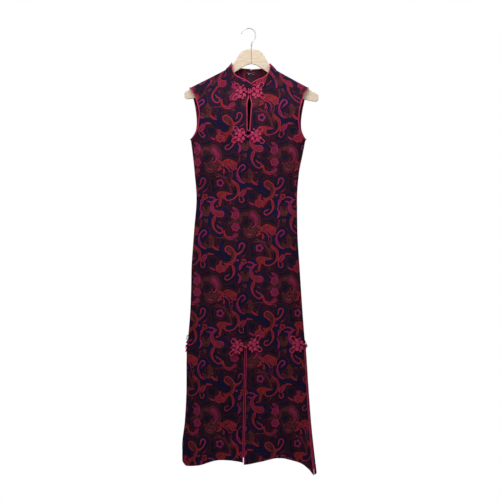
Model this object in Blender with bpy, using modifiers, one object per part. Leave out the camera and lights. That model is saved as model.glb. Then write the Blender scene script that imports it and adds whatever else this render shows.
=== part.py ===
"""Sleeveless maxi cheongsam dress on a wooden hanger.

Metres, +Z up, +X to the viewer's right, the front faces -Y. The origin is where the hook's inner
top rests on the rod or nail that holds it. Every cloth piece is an open sheet worked out from the
rings below and given its wall thickness inwards.
"""

import math

import bmesh
import bpy
import numpy as np

MM = 0.001
CLOTH = 1.5 * MM
SEAM_GAP = 0.55 * MM
CLEAR = 0.3 * MM
PIPING_R = 1.9 * MM
SLIT_R = 1.5 * MM
CORD_R = 2.2 * MM
WIRE_R = 1.75 * MM
EDGE_HALF = 4.25
SLIT_HALF = 3.45
CLOTH_OVER_ARM = 2.5
HANGER_X = 6.7
HANGER_TILT = 0.02
HANGER_HALF = 6.0
HANGER_EDGE = 2.0
HANGER_TURN = 0.07
HANGER_BACK = 1.9
HANGER_JOINT = 0.6
HANGER_FADE = (230.0, 420.0)
NOSE = 9.0
ARM_DEPTH = 9.2
ARM_FADE = 250.0
BEND_REACH = 30.0
NECK_X = (-79.0, 89.0)
NECK_FRONT_DROP = 66.0
NECK_BACK_DROP = 27.0
COLLAR_HEIGHT = 27.0
COLLAR_LEAN = 15.0
COLLAR_LIFT = 1.15
COLLAR_END = 0.42
COLLAR_CURVE = 9.0
COLLAR_GAP = (1.3, 1.2)
COLLAR_SIDE = 89.35
COLLAR_RISE = 4.0
KEYHOLE = (236.0, 350.0)
KEYHOLE_HALF = 6.0
KEYHOLE_END = 355.0
FRONT_SLIT_TOP = 1070.0
SIDE_SLIT_TOP = 1066.0
ZIP_BOTTOM = 611.0
ZIP_HALF_GAP = 2.6
UNDERARM = 373.0
FRONT_LINE = ((200.0, 1.0), (360.0, -4.0), (560.0, -8.0), (1070.0, -12.5), (1450.0, -20.5))
ZIP_X = 3.0
FRONT_HALF_COLUMNS = 12
BACK_COLUMNS = 10
SHOULDER_SHARE = 0.42
EDGE_STRIP = 0.012
FRONT_HEM = 1450.0
BACK_HEM = 1446.0

# Rows of the sheets, in mm: below the top edge, the line where the yoke ends, and down the body.
RIDGE = (0.0003, 0.02, 0.6, 2.5, 7.0, 15.0)
UPPER_ROWS = 3
YOKE = 262.0
BODY_ROWS = (285, 310, 332, 350, 362, 373, 400, 435, 480, 540, 610, 690, 790, 890, 985, 1060, 1074)
SKIRT_ROWS = 6

# The ring of the dress at each drop below the origin, in mm: its left and right ends, its depth in
# front and behind, and how many degrees the right side seam is turned to the front and the left
# one to the back.
RINGS = {
    "drop": (110, 170, 205, 272, 330, 373, 420, 487, 568, 675, 810, 917, 1025, 1079, 1213, 1320,
             1401, 1500),
    "left": (-233, -232, -228, -213, -202, -197, -191, -184, -178, -186, -195, -198, -205, -211,
             -212, -218, -226, -225),
    "right": (240, 236, 230, 211, 195, 188, 179, 166, 160, 161, 169, 176, 184, 189, 199, 207,
              215, 227),
    "front": (9, 13, 17, 27, 35, 39, 39, 33, 27, 30, 34, 36, 39, 41, 42, 42, 44, 46),
    "back": (7, 8, 9, 16, 26, 31, 31, 29, 28, 30, 34, 35, 37, 38, 40, 41, 42, 44),
    "turn_right": (0, 0, 0, 0, 0, 0, 0, 0, 1, 2, 4, 5, 7, 8, 11, 13, 15, 16),
    "turn_left": (0, 0, 0, 0, 0, 0, 1, 4, 9, 16, 24, 30, 35, 35, 36, 37, 38, 38),
}

# Armhole edges in mm at each drop, from the shoulder tip to the underarm.
ARMHOLES = {
    "drop": (198, 216, 243, 285, 314, 336, 354, 373),
    "front_left": (-198.5, -187, -176, -167, -169, -173, -181, -196.9),
    "front_right": (196, 184, 175, 165, 164, 166, 173, 187.9),
    "back_left": (-198.5, -192, -184, -177, -175, -177, -184, -196.9),
    "back_right": (196, 189, 182, 174, 171, 172, 178, 187.9),
}

# The hanger's top and lower edge: distance from its middle and drop, in mm.
ARM_TOP = {
    "out": (0, 12, 24, 35.6, 44.4, 53.8, 64.5, 84, 105, 130, 170, 204, 214, 221, 225),
    "drop": (67.2, 67.8, 71, 78, 91.6, 107.5, 126.5, 147, 156, 168, 188, 205.5, 211, 216, 222),
}
SHOULDER = {"out": (79, 84, 130, 170, 206), "drop": (136.5, 140.0, 165.6, 186.8, 205.6)}
ARM_LOW = {
    "out": (0, 14, 32, 55, 100, 140, 177, 200, 217, 224),
    "drop": (117.6, 121, 131, 146.5, 181, 213, 235, 239.5, 241.5, 236),
}

# The hem's drop in mm by angle round the ring, from the front line outwards each way.
HEM = {
    "angle": (-180, -150, -105, -85, -68, -50, -25, -5, -4, 8, 27, 42, 52, 62, 72, 90, 110, 150,
              180),
    "drop": (1444, 1444, 1448, 1452, 1467, 1463, 1444, 1452, 1459, 1451, 1437, 1448, 1458, 1476,
             1495, 1490, 1476, 1446, 1444),
}

# The largest folds: middle angle and half-width in degrees, the drops in mm where they start, are
# full and end, and how far they stand out, in mm.
FOLDS = (
    {"angle": -26, "wide": 7, "start": 300, "full": 390, "end": 520, "out": -5},
    {"angle": 33, "wide": 6, "start": 320, "full": 400, "end": 540, "out": -5},
    {"angle": 50, "wide": 7, "start": 330, "full": 420, "end": 600, "out": 4},
    {"angle": -55, "wide": 8, "start": 330, "full": 420, "end": 600, "out": 4},
    {"angle": -40, "wide": 13, "start": 700, "full": 1500, "end": 2600, "out": 9},
    {"angle": -68, "wide": 8, "start": 800, "full": 1500, "end": 2600, "out": -9},
    {"angle": -14, "wide": 9, "start": 900, "full": 1500, "end": 2600, "out": -6},
    {"angle": 18, "wide": 10, "start": 800, "full": 1500, "end": 2600, "out": 6},
    {"angle": 45, "wide": 11, "start": 700, "full": 1500, "end": 2600, "out": -8},
    {"angle": 68, "wide": 9, "start": 1000, "full": 1500, "end": 2600, "out": 7},
    {"angle": 130, "wide": 13, "start": 650, "full": 1500, "end": 2600, "out": 9},
    {"angle": 158, "wide": 10, "start": 800, "full": 1500, "end": 2600, "out": -7},
    {"angle": -158, "wide": 10, "start": 800, "full": 1500, "end": 2600, "out": -6},
    {"angle": -130, "wide": 13, "start": 650, "full": 1500, "end": 2600, "out": 8},
)

# Butterfly frogs: the button's x in mm or its seam (1 right, -1 left), its drop, the wings' tilt
# in degrees, how high the button sits, and the lift where a wing turns round the side, in mm.
FROGS = (
    {"name": "frog_collar", "x": -1.5, "drop": 217.5, "tilt": 3, "seat": 1.6},
    {"name": "frog_keyhole", "x": -5.0, "drop": 364.5, "tilt": -1, "seat": 0.4},
    {"name": "frog_slit_front", "x": -12.5, "drop": 1067.0, "tilt": 8, "seat": 0.4},
    {"name": "frog_slit_right", "seam": 1, "drop": 1064.0, "tilt": 0, "seat": 0.2, "round": 0.8},
    {"name": "frog_slit_left", "seam": -1, "drop": 1062.0, "tilt": 0, "seat": 0.2, "round": 2.0},
)

# One wing's loops, in mm from the button: how far across and up the middle lies, and its radius.
LOOPS = (
    {"p": 18, "q": 18, "r": 6.5},
    {"p": 45, "q": 25, "r": 8.0},
    {"p": 37, "q": 6, "r": 7.0},
    {"p": 46, "q": -14, "r": 8.0},
    {"p": 17, "q": -14, "r": 6.5},
)
HEART = (27.0, 3.5)
LOOP_STEPS = 4
BUTTON_R = 5.0

# The hook's wire from its free end to the hanger, in mm: x, y and drop.
HOOK = (
    (-29.9, 0, 17.5), (-22.5, 0, 5.5), (-11.4, 0, -0.6), (0, 0, -1.75), (10.0, 0, 0.6), (17.6, 0, 8.4),
    (20.2, 0, 19.8), (17.5, 0, 31.6), (11.5, 0.4, 40.5), (7.2, 1.0, 49), (6.7, 1.6, 57), (6.7, 1.9, 66.7),
)
WIRE_FINE = 0.6

COLOURS = {
    "cloth": ((0.045, 0.012, 0.024), 0.75, 0.0),
    "piping": ((0.42, 0.018, 0.105), 0.5, 0.0),
    "cord": ((0.45, 0.018, 0.115), 0.45, 0.0),
    "wood": ((0.66, 0.50, 0.33), 0.5, 0.0),
    "steel": ((0.55, 0.55, 0.55), 0.35, 1.0),
    "zip": ((0.02, 0.015, 0.03), 0.5, 0.0),
}


def clear_scene():
    for ob in list(bpy.data.objects):
        bpy.data.objects.remove(ob, do_unlink=True)


def make_collection(name):
    made = bpy.data.collections.new(name)
    bpy.context.scene.collection.children.link(made)
    return made


def material(kind):
    found = bpy.data.materials.get(kind)
    if found:
        return found
    colour, roughness, metallic = COLOURS[kind]
    mat = bpy.data.materials.new(kind)
    mat.use_nodes = True
    shader = mat.node_tree.nodes["Principled BSDF"]
    shader.inputs["Base Color"].default_value = (*colour, 1.0)
    shader.inputs["Roughness"].default_value = roughness
    shader.inputs["Metallic"].default_value = metallic
    return mat


def smooth_curve(xs, ys, x):
    """A curve through the points with no overshoot, as a tailor's curve joins marks."""
    xs = np.asarray(xs, float)
    ys = np.asarray(ys, float)
    step = np.diff(xs)
    rise = np.diff(ys) / step
    slope = np.zeros(len(xs))
    slope[0] = rise[0]
    slope[-1] = rise[-1]
    both = rise[:-1] * rise[1:] > 0
    mean = 2 * rise[:-1] * rise[1:] / np.where(both, rise[:-1] + rise[1:], 1.0)
    slope[1:-1] = np.where(both, mean, 0.0)
    x = np.clip(x, xs[0], xs[-1])
    k = np.clip(np.searchsorted(xs, x, side="right") - 1, 0, len(xs) - 2)
    t = (x - xs[k]) / step[k]
    a = ys[k] * (1 + 2 * t) * (1 - t) ** 2 + ys[k + 1] * t * t * (3 - 2 * t)
    b = slope[k] * t * (1 - t) ** 2 - slope[k + 1] * t * t * (1 - t)
    return a + b * step[k]


def ring(name, drop):
    return smooth_curve(RINGS["drop"], RINGS[name], drop)


def ease(low, high, value):
    t = np.clip((value - low) / (high - low), 0.0, 1.0)
    return t * t * (3 - 2 * t)


def shoulder_drop(x):
    """The top of the cloth over the hanger's arm; it runs level across the neck."""
    out = abs(x - HANGER_X)
    edge = smooth_curve(SHOULDER["out"], SHOULDER["drop"], out)
    return float(edge + HANGER_TILT * (x - HANGER_X) - CLOTH_OVER_ARM)


def dress_point(angle, drop, out=0.0):
    """A point on the dress's outer face, in metres; out moves it off the cloth, in mm."""
    turn = math.radians(angle)
    left = ring("left", drop)
    right = ring("right", drop)
    half = (right - left) / 2
    x = (left + right) / 2 + half * math.sin(turn)
    front = math.cos(turn) >= 0
    depth = ring("front" if front else "back", drop) * abs(math.cos(turn))
    for fold in FOLDS:
        away = ((angle - fold["angle"] + 180.0) % 360.0 - 180.0) / fold["wide"]
        grown = ease(fold["start"], fold["full"], drop) * (1 - ease(fold["full"], fold["end"], drop))
        depth += fold["out"] * math.exp(-away * away) * grown
    below = drop - shoulder_drop(x)
    nose = np.clip(below / NOSE, 0.0, 1.0)
    rounded = math.sqrt(nose * (2 - nose))
    arm = ARM_DEPTH * (1 - ease(ARM_FADE, UNDERARM, drop))
    depth = (depth + arm + out) * rounded if drop < UNDERARM else depth
    side = -1 if front else 1
    bend = HANGER_TURN * (math.hypot(x - HANGER_X, BEND_REACH) - BEND_REACH)
    y = side * depth - bend * (1 - ease(*HANGER_FADE, drop))
    z = -drop
    if drop >= UNDERARM:
        along = half * abs(math.cos(turn))
        across = ring("front" if front else "back", drop) * math.sin(turn)
        size = math.hypot(across, along)
        x += out * across / size
        y += side * out * along / size
    else:
        z += out * (1 - rounded)
    return np.array((x, y, z)) * MM


def angle_at(x, drop, front=True):
    left = ring("left", drop)
    right = ring("right", drop)
    sine = np.clip((x - (left + right) / 2) / ((right - left) / 2), -1, 1)
    turn = math.degrees(math.asin(sine))
    return turn if front else 180.0 - turn


def centre_angle(drop):
    drops, places = zip(*FRONT_LINE)
    return angle_at(np.interp(drop, drops, places), drop)


def side_angles(drop):
    return -90.0 - float(ring("turn_left", drop)), 90.0 - float(ring("turn_right", drop))


def front_edges(drop):
    if drop >= UNDERARM:
        return side_angles(drop)
    left = smooth_curve(ARMHOLES["drop"], ARMHOLES["front_left"], drop)
    right = smooth_curve(ARMHOLES["drop"], ARMHOLES["front_right"], drop)
    return angle_at(left, drop), angle_at(right, drop)


def back_edges(drop):
    """Right edge, then left edge, as angles past the right side: 90 to 270."""
    if drop >= UNDERARM:
        left, right = side_angles(drop)
        return right, left + 360.0
    left = smooth_curve(ARMHOLES["drop"], ARMHOLES["back_left"], drop)
    right = smooth_curve(ARMHOLES["drop"], ARMHOLES["back_right"], drop)
    return angle_at(right, drop, False), angle_at(left, drop, False)


def neckline(place, deepest):
    """Drop of the neck seam at x; a half ellipse between the neck points."""
    middle = (NECK_X[0] + NECK_X[1]) / 2
    half = (NECK_X[1] - NECK_X[0]) / 2
    across = np.clip((place - middle) / half, -1, 1)
    edge = shoulder_drop(NECK_X[0] if place < middle else NECK_X[1])
    return edge + deepest * math.sqrt(1 - across * across)


def top_drop(x, deepest):
    if NECK_X[0] < x < NECK_X[1]:
        return neckline(x, deepest)
    return shoulder_drop(x)


def shares(count):
    """How far across its run each column lies; a narrow strip along the edge squares its rim."""
    return [0.0, EDGE_STRIP] + [k / count for k in range(1, count + 1)]


def half_places(tip, neck, centre, count):
    """x of the columns along the top edge: shoulder to the neck point, then round the neck."""
    shoulder = round(count * SHOULDER_SHARE) / count
    out = []
    for share in shares(count):
        if share < shoulder:
            out.append(tip + (neck - tip) * share / shoulder)
        else:
            bend = math.pi / 2 * (share - shoulder) / (1 - shoulder)
            out.append(centre + (neck - centre) * math.cos(bend))
    return out


def hem_drop(angle):
    wrapped = (angle + 180.0) % 360.0 - 180.0
    return float(smooth_curve(HEM["angle"], HEM["drop"], wrapped))


def place_on(share, drop, angles_at):
    start, end = angles_at(drop)
    return start + (end - start) * share


def x_at(angle, drop):
    left = ring("left", drop)
    right = ring("right", drop)
    return (left + right) / 2 + (right - left) / 2 * math.sin(math.radians(angle))


def yoke_rows(places, deepest, angles_at, count):
    """Rows from the shoulder and neck edge down to the yoke line."""
    tops = [top_drop(x, deepest) for x in places]
    steps = [(0.0, below) for below in RIDGE]
    steps += [((k + 1) / (UPPER_ROWS + 1), RIDGE[-1]) for k in range(UPPER_ROWS)]
    rows = []
    for share_down, below in steps:
        line = []
        for x, top, share in zip(places, tops, shares(count)):
            first = top + below
            drop = first + (YOKE - first) * share_down
            goal = place_on(share, YOKE, angles_at)
            down = (drop - top) / (YOKE - top)
            place = x + (x_at(goal, YOKE) - x) * down
            angle = angle_at(place, drop, math.cos(math.radians(goal)) >= 0)
            line.append((angle, drop))
        edge = line[0]
        if edge[1] - tops[0] > RIDGE[2]:
            line[0] = (place_on(0.0, edge[1], angles_at), edge[1])
            line[1] = (line[0][0] + (line[2][0] - line[0][0]) * EDGE_STRIP * count, edge[1])
        if line[-1][1] - tops[-1] > RIDGE[2]:
            line[-1] = (place_on(1.0, line[-1][1], angles_at), line[-1][1])
        rows.append(line)
    return rows


def sheet_rows(places, deepest, angles_at, last, count):
    """Rows of (angle, drop) down one run of columns, from the top edge to the hem."""
    rows = yoke_rows(places, deepest, angles_at, count)
    for drop in (YOKE, *BODY_ROWS):
        rows.append([(place_on(share, drop, angles_at), drop) for share in shares(count)])
    base = BODY_ROWS[-1]
    for r in range(1, SKIRT_ROWS + 1):
        line = []
        for share in shares(count):
            drop = base + (last - base) * r / SKIRT_ROWS
            for _ in range(3):
                angle = place_on(share, drop, angles_at)
                drop = base + (hem_drop(angle) - base) * r / SKIRT_ROWS
            line.append((angle, drop))
        rows.append(line)
    return rows


def shifted(angle, drop, along):
    """The angle that lies along mm further round the ring."""
    here = dress_point(angle, drop)
    there = dress_point(angle + 0.5, drop)
    return angle + 0.5 * along * MM / max(float(np.linalg.norm(there - here)), 1e-5)


def keyhole_half(drop):
    """Half the opening's width, in mm: closed at the collar frog, round below, narrow at the foot."""
    if drop < KEYHOLE[0]:
        return EDGE_HALF
    t = (drop - KEYHOLE[0]) / (KEYHOLE[1] - KEYHOLE[0])
    return EDGE_HALF + KEYHOLE_HALF * math.sqrt(min(1.0, 6 * t)) * (1 - 0.8 * t)


def front_half(side):
    """Rows for one half of the front, from the side edge to the front line."""
    tip = ARMHOLES["front_left" if side < 0 else "front_right"][0]
    neck = NECK_X[0 if side < 0 else 1]
    middle = FRONT_LINE[0][1] + side * EDGE_HALF
    places = half_places(tip, neck, middle, FRONT_HALF_COLUMNS)

    def edges(drop):
        outer = front_edges(drop)[0 if side < 0 else 1]
        outer = shifted(outer, drop, -side * SEAM_GAP / MM)
        if drop > SIDE_SLIT_TOP:
            outer = shifted(outer, drop, -side * EDGE_HALF)
        inner = centre_angle(drop)
        if drop < KEYHOLE_END:
            inner = shifted(inner, drop, side * keyhole_half(min(drop, KEYHOLE[1])))
        if drop > FRONT_SLIT_TOP:
            inner = shifted(inner, drop, side * SLIT_HALF)
        return outer, inner

    return sheet_rows(places, NECK_FRONT_DROP, edges, FRONT_HEM, FRONT_HALF_COLUMNS)


def back_half(side):
    """Rows for one back panel, from the side edge to the centre back."""
    tip = ARMHOLES["back_left" if side < 0 else "back_right"][0]
    neck = NECK_X[0 if side < 0 else 1]
    middle = ZIP_X + side * ZIP_HALF_GAP
    places = half_places(tip, neck, middle, BACK_COLUMNS)

    def edges(drop):
        right, left = back_edges(drop)
        outer = left if side < 0 else right
        outer = shifted(outer, drop, side * SEAM_GAP / MM)
        if drop > SIDE_SLIT_TOP:
            outer = shifted(outer, drop, side * EDGE_HALF)
        gap = ZIP_HALF_GAP if drop < ZIP_BOTTOM else SEAM_GAP / MM
        inner = shifted(angle_at(ZIP_X, drop, False), drop, -side * gap)
        return outer, inner

    return sheet_rows(places, NECK_BACK_DROP, edges, BACK_HEM, BACK_COLUMNS)


def link(ob, collection, kind):
    collection.objects.link(ob)
    ob.data.materials.append(material(kind))
    return ob


def sheet_object(name, points, faces, kind, collection):
    """An open sheet with its outer face out, thickened inwards."""
    mesh = bpy.data.meshes.new(name)
    mesh.from_pydata([tuple(p) for p in points], [], faces)
    ob = link(bpy.data.objects.new(name, mesh), collection, kind)
    mesh.shade_smooth()
    wall = ob.modifiers.new("wall", "SOLIDIFY")
    wall.thickness = CLOTH
    wall.offset = -1.0
    return ob


def grid_faces(rows, columns, index, flip):
    faces = []
    for r in range(rows - 1):
        for c in range(columns - 1):
            ids = [index(r, c), index(r + 1, c), index(r + 1, c + 1), index(r, c + 1)]
            if len(set(ids)) > 2:
                faces.append(ids[::-1] if flip else ids)
    return faces


def make_front(collection):
    """Two halves sewn along the front line between the keyhole and the front slit."""
    left = front_half(-1)
    right = front_half(1)
    points = []
    number = {}

    def add(key, angle, drop):
        number[key] = len(points)
        points.append(dress_point(angle, drop))

    last = FRONT_HALF_COLUMNS + 1
    for r, line in enumerate(left):
        for c, (angle, drop) in enumerate(line):
            add((-1, r, c), angle, drop)
    for r, line in enumerate(right):
        joined = KEYHOLE_END < line[-1][1] <= FRONT_SLIT_TOP
        for c, (angle, drop) in enumerate(line):
            if c == last and joined:
                number[(1, r, c)] = number[(-1, r, c)]
            else:
                add((1, r, c), angle, drop)
    faces = []
    for side in (-1, 1):
        faces += grid_faces(len(left), last + 1, lambda r, c: number[(side, r, c)], side > 0)
    return sheet_object("front", points, faces, "cloth", collection)


def make_back(side, collection):
    rows = back_half(side)
    width = BACK_COLUMNS + 2
    points = [dress_point(angle, drop) for line in rows for angle, drop in line]
    faces = grid_faces(len(rows), width, lambda r, c: r * width + c, side < 0)
    name = "back_left" if side < 0 else "back_right"
    return sheet_object(name, points, faces, "cloth", collection)


def neck_point(turn):
    """The neck seam in mm at an angle round the neck: 0 at the front line, 180 at the back."""
    middle = (NECK_X[0] + NECK_X[1]) / 2
    half = (NECK_X[1] - NECK_X[0]) / 2
    front = abs(turn) <= 90
    bent = math.radians(turn)
    x = middle + half * math.sin(bent)
    deep = NECK_FRONT_DROP if front else NECK_BACK_DROP
    drop = top_drop(float(np.clip(x, NECK_X[0] + 0.01, NECK_X[1] - 0.01)), deep)
    return dress_point(angle_at(x, drop, front), drop) / MM


def collar_point(turn, height, out=0.0):
    """A point on the collar's outer face: it stands on the neck seam and leans in."""
    base = neck_point(turn)
    bent = math.radians(turn)
    short = 1 - COLLAR_END * math.exp(-((turn / COLLAR_CURVE) ** 2))
    sides = abs(math.sin(bent)) ** 3
    lean = COLLAR_LEAN * (0.3 + 0.9 * sides) * height
    tall = COLLAR_HEIGHT * short * height * (1 - 0.3 * sides)
    x = base[0] - math.sin(bent) * (lean - out)
    y = base[1] + math.cos(bent) * (lean * 0.3 - out)
    return np.array((x, y, base[2] + COLLAR_LIFT * (1 + 1.4 * sides ** 3) + tall)) * MM


def collar_turns(side, count=14):
    """Angles round one half of the neck, clear of the front line and the zip, with one at its side."""
    last = 180.0 - COLLAR_GAP[1]
    half = count // 2
    turns = [COLLAR_GAP[0] + (COLLAR_SIDE - COLLAR_GAP[0]) * k / half for k in range(half)]
    turns += [COLLAR_SIDE + (last - COLLAR_SIDE) * k / half for k in range(half + 1)]
    return [side * turn for turn in turns]


def make_collar(side, collection):
    turns = collar_turns(side)
    heights = (0.0, 0.33, 0.67, 1.0)
    points = [collar_point(t, h) for h in heights for t in turns]
    width = len(turns)
    faces = grid_faces(len(heights), width, lambda r, c: r * width + c, side < 0)
    name = "collar_left" if side < 0 else "collar_right"
    return sheet_object(name, points, faces, "cloth", collection)


def tube(name, points, radius, kind, collection, sides=1, cyclic=False):
    """A cord or piping: a curve with a round bevel and filled caps."""
    curve = bpy.data.curves.new(name, "CURVE")
    curve.dimensions = "3D"
    curve.bevel_depth = radius
    curve.bevel_resolution = sides
    curve.use_fill_caps = not cyclic
    spline = curve.splines.new("POLY")
    spline.points.add(len(points) - 1)
    for spot, p in zip(spline.points, points):
        spot.co = (*p, 1.0)
    spline.use_cyclic_u = cyclic
    spline.use_smooth = True
    return link(bpy.data.objects.new(name, curve), collection, kind)


def beyond_edge(edge, inner, gap):
    """Points set past a sheet's edge, in the plane of the cloth, halfway through its wall."""
    out = []
    for p, q in zip(edge, inner):
        away = p - q
        out.append(p + away / np.linalg.norm(away) * gap)
    return out


def edge_points(rows, column, inward, radius=PIPING_R, gap=CLEAR):
    """Where piping lies past a sheet's edge, level with the middle of the wall."""
    edge = [dress_point(line[column][0], line[column][1], -CLOTH / MM / 2) for line in rows]
    inner = [dress_point(line[inward][0], line[inward][1], -CLOTH / MM / 2) for line in rows]
    return beyond_edge(edge, inner, radius + gap)


def run_of(rows, column, low, high):
    return [line for line in rows if low < line[column][1] <= high]


def make_armhole_piping(front, back, side, label, collection):
    """A closed ring of piping: down the front edge, under the arm and up the back edge."""
    underarm = ARMHOLES["drop"][-1]
    tip = front[0][0][1] + RIDGE[2] + 0.1
    down = edge_points(run_of(front, 0, tip, underarm - 1), 0, 1, gap=4 * CLEAR)
    up = edge_points(run_of(back, 0, tip, underarm - 1), 0, 1, gap=4 * CLEAR)
    ridge = dress_point(front[0][0][0], front[0][0][1])
    top = ridge + np.array((side * (PIPING_R + 2 * CLEAR), 0, 0))
    low = (down[-1] + up[-1]) / 2 - np.array((-side * 5.0, 0, 3.5)) * MM
    tube(f"piping_armhole_{label}", [top, *down, low, *up[::-1]], PIPING_R, "piping", collection,
         cyclic=True)


def make_piping(collection):
    front = {side: front_half(side) for side in (-1, 1)}
    back = {side: back_half(side) for side in (-1, 1)}
    last = FRONT_HALF_COLUMNS + 1
    keyhole = []
    for side, label in ((-1, "left"), (1, "right")):
        make_armhole_piping(front[side], back[side], side, label, collection)
        turns = collar_turns(side, 16)
        edge = [collar_point(t, 1.0, -CLOTH / MM / 2) for t in turns]
        under = [collar_point(t, 0.9, -CLOTH / MM / 2) for t in turns]
        line = beyond_edge(edge, under, PIPING_R + CLEAR)
        tube(f"piping_collar_{label}", line, PIPING_R, "piping", collection)
        rows = run_of(front[side], last, FRONT_SLIT_TOP, 2000)
        tube(f"piping_slit_front_{label}", edge_points(rows, last, last - 1, SLIT_R), SLIT_R,
             "piping", collection)
        rows = run_of(front[side], 0, SIDE_SLIT_TOP, 2000)
        tube(f"piping_slit_{label}_front", edge_points(rows, 0, 1), PIPING_R, "piping", collection)
        rows = run_of(back[side], 0, SIDE_SLIT_TOP, 2000)
        tube(f"piping_slit_{label}_back", edge_points(rows, 0, 1), PIPING_R, "piping", collection)
        rows = run_of(front[side][::2], last, 0, KEYHOLE[1] - 2)
        keyhole.append(edge_points(rows, last, last - 1))
    tube("piping_keyhole", [*keyhole[0], *keyhole[1][::-1]], PIPING_R, "piping", collection)


def walk(angle, drop, along):
    """The angle reached along mm round the ring from the given one."""
    steps = max(1, int(abs(along) / 6.0))
    for _ in range(steps):
        angle = shifted(angle, drop, along / steps)
    return angle


def wing_outline(side, tilt):
    """One wing's cord as a closed line in mm: out from the button and round each loop in turn."""
    lean = math.radians(tilt)
    out = []
    for loop in LOOPS:
        toward = math.atan2(loop["q"] - HEART[1], loop["p"] - HEART[0])
        for k in range(LOOP_STEPS + 1):
            bend = toward + math.radians(130 - 260 * k / LOOP_STEPS)
            out.append((loop["p"] + loop["r"] * math.cos(bend), loop["q"] + loop["r"] * math.sin(bend)))
    turned = []
    for p, q in out:
        turned.append((side * p, q + p * math.tan(lean) * side))
    return turned


def make_frog(frog, collection):
    drop = frog["drop"]
    if "seam" in frog:
        middle = side_angles(drop)[0 if frog["seam"] < 0 else 1]
    else:
        middle = angle_at(frog["x"], drop)
    for side, label in ((-1, "left"), (1, "right")):
        line = []
        for p, q in wing_outline(side, frog["tilt"]):
            own = middle if "seam" in frog else angle_at(frog["x"], drop - q)
            angle = walk(own, drop - q, p)
            lift = CORD_R / MM + 0.4
            if "seam" in frog:
                lift += 0.4 + frog["round"] * abs(math.sin(math.radians(angle))) ** 8
            edge = neckline(x_at(angle, drop - q), NECK_FRONT_DROP)
            lift += COLLAR_RISE * (1 - ease(edge - 4.0, edge + 9.0, drop - q))
            line.append(dress_point(angle, drop - q, lift))
        tube(f"{frog['name']}_{label}", line, CORD_R, "cord", collection, cyclic=True)
    place = dress_point(middle, drop, BUTTON_R + frog["seat"])
    mesh = bpy.data.meshes.new(frog["name"] + "_button")
    ball = bmesh.new()
    bmesh.ops.create_icosphere(ball, subdivisions=2, radius=BUTTON_R * MM)
    ball.to_mesh(mesh)
    ball.free()
    mesh.shade_smooth()
    ob = link(bpy.data.objects.new(frog["name"] + "_button", mesh), collection, "cord")
    ob.location = place


def zip_strip(name, half, out, thick, drops, collection):
    """A strip down the centre back, made from the back's own line and moved in."""
    points = []
    for drop in drops:
        middle = angle_at(ZIP_X, drop, False)
        for along in (-half, half):
            points.append(dress_point(shifted(middle, drop, along), drop, out))
    faces = grid_faces(len(drops), 2, lambda r, c: r * 2 + c, False)
    ob = sheet_object(name, points, faces, "zip", collection)
    ob.modifiers["wall"].thickness = thick * MM


def box_bmesh(size, middle):
    made = bmesh.new()
    bmesh.ops.create_cube(made, size=1.0)
    bmesh.ops.scale(made, vec=[v * MM for v in size], verts=made.verts)
    bmesh.ops.translate(made, vec=[v * MM for v in middle], verts=made.verts)
    return made


def boxes_object(name, boxes, kind, collection, cutters):
    """Boxes joined by Boolean unions into one body."""
    first = None
    for k, (size, middle) in enumerate(boxes):
        made = box_bmesh(size, middle)
        mesh = bpy.data.meshes.new(f"{name}_{k}" if k else name)
        made.to_mesh(mesh)
        made.free()
        ob = bpy.data.objects.new(mesh.name, mesh)
        if first is None:
            first = link(ob, collection, kind)
            continue
        cutters.objects.link(ob)
        ob.hide_render = True
        ob.display_type = "WIRE"
        ob.parent = first
        union = first.modifiers.new(f"join_{k}", "BOOLEAN")
        union.operation = "UNION"
        union.object = ob
    return first


def make_zip(collection, cutters):
    start = neckline(ZIP_X, NECK_BACK_DROP)
    last = BACK_COLUMNS + 1
    drops = [line[last][1] for line in run_of(back_half(1), last, start + 3.0, ZIP_BOTTOM)]
    zip_strip("zip_chain", 2.0, -0.3, 1.2, drops, collection)
    zip_strip("zip_tape", 11.0, -2.1, 1.0, drops, collection)
    drop = start + 12.0
    seat = dress_point(angle_at(ZIP_X, drop, False), drop, 0.5)
    slider = boxes_object("zip_slider", [
        ((7.0, 2.6, 10.0), (0, 1.3, 0)),
        ((1.2, 3.2, 3.0), (-2.6, 3.6, 2.6)),
        ((1.2, 3.2, 3.0), (2.6, 3.6, 2.6)),
    ], "steel", collection, cutters)
    slider.location = seat
    pull = boxes_object("zip_pull", [
        ((3.2, 1.8, 1.8), (0, 0, 0)),
        ((2.4, 1.2, 4.0), (0, 0, -2.4)),
        ((5.0, 1.2, 18.0), (0, 0, -13.0)),
    ], "steel", collection, cutters)
    pull.location = (seat[0], seat[1] + 4.0 * MM, seat[2] + 2.6 * MM)


def make_collar_hook(collection):
    """A wire hook on one collar end and its eye on the other, inside the back of the collar."""
    inside = -(CLOTH / MM + WIRE_FINE - 0.8)
    for side, label in ((-1, "hook"), (1, "eye")):
        line = []
        for turn, height in ((170.0, 0.62), (172.5, 0.68), (178.7, 0.6), (178.7, 0.5), (172.5, 0.42)):
            line.append(collar_point(side * turn, height, inside))
        tube(f"collar_{label}", line, WIRE_FINE * MM, "steel", collection)


def smooth_path(points, steps):
    """A rounded line through hand-placed points, for a bent wire."""
    pts = [np.asarray(p, float) for p in points]
    pts = [2 * pts[0] - pts[1], *pts, 2 * pts[-1] - pts[-2]]
    out = []
    for k in range(1, len(pts) - 2):
        a, b, c, d = pts[k - 1:k + 3]
        for j in range(steps):
            t = j / steps
            out.append(0.5 * (2 * b + (c - a) * t + (2 * a - 5 * b + 4 * c - d) * t ** 2
                              + (3 * b - a - 3 * c + d) * t ** 3))
    return out + [pts[-2]]


def make_hook(collection):
    line = [np.array((x, y, -drop)) * MM for x, y, drop in smooth_path(HOOK, 3)]
    tube("hanger_hook", line, WIRE_R, "steel", collection, 2)


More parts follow.
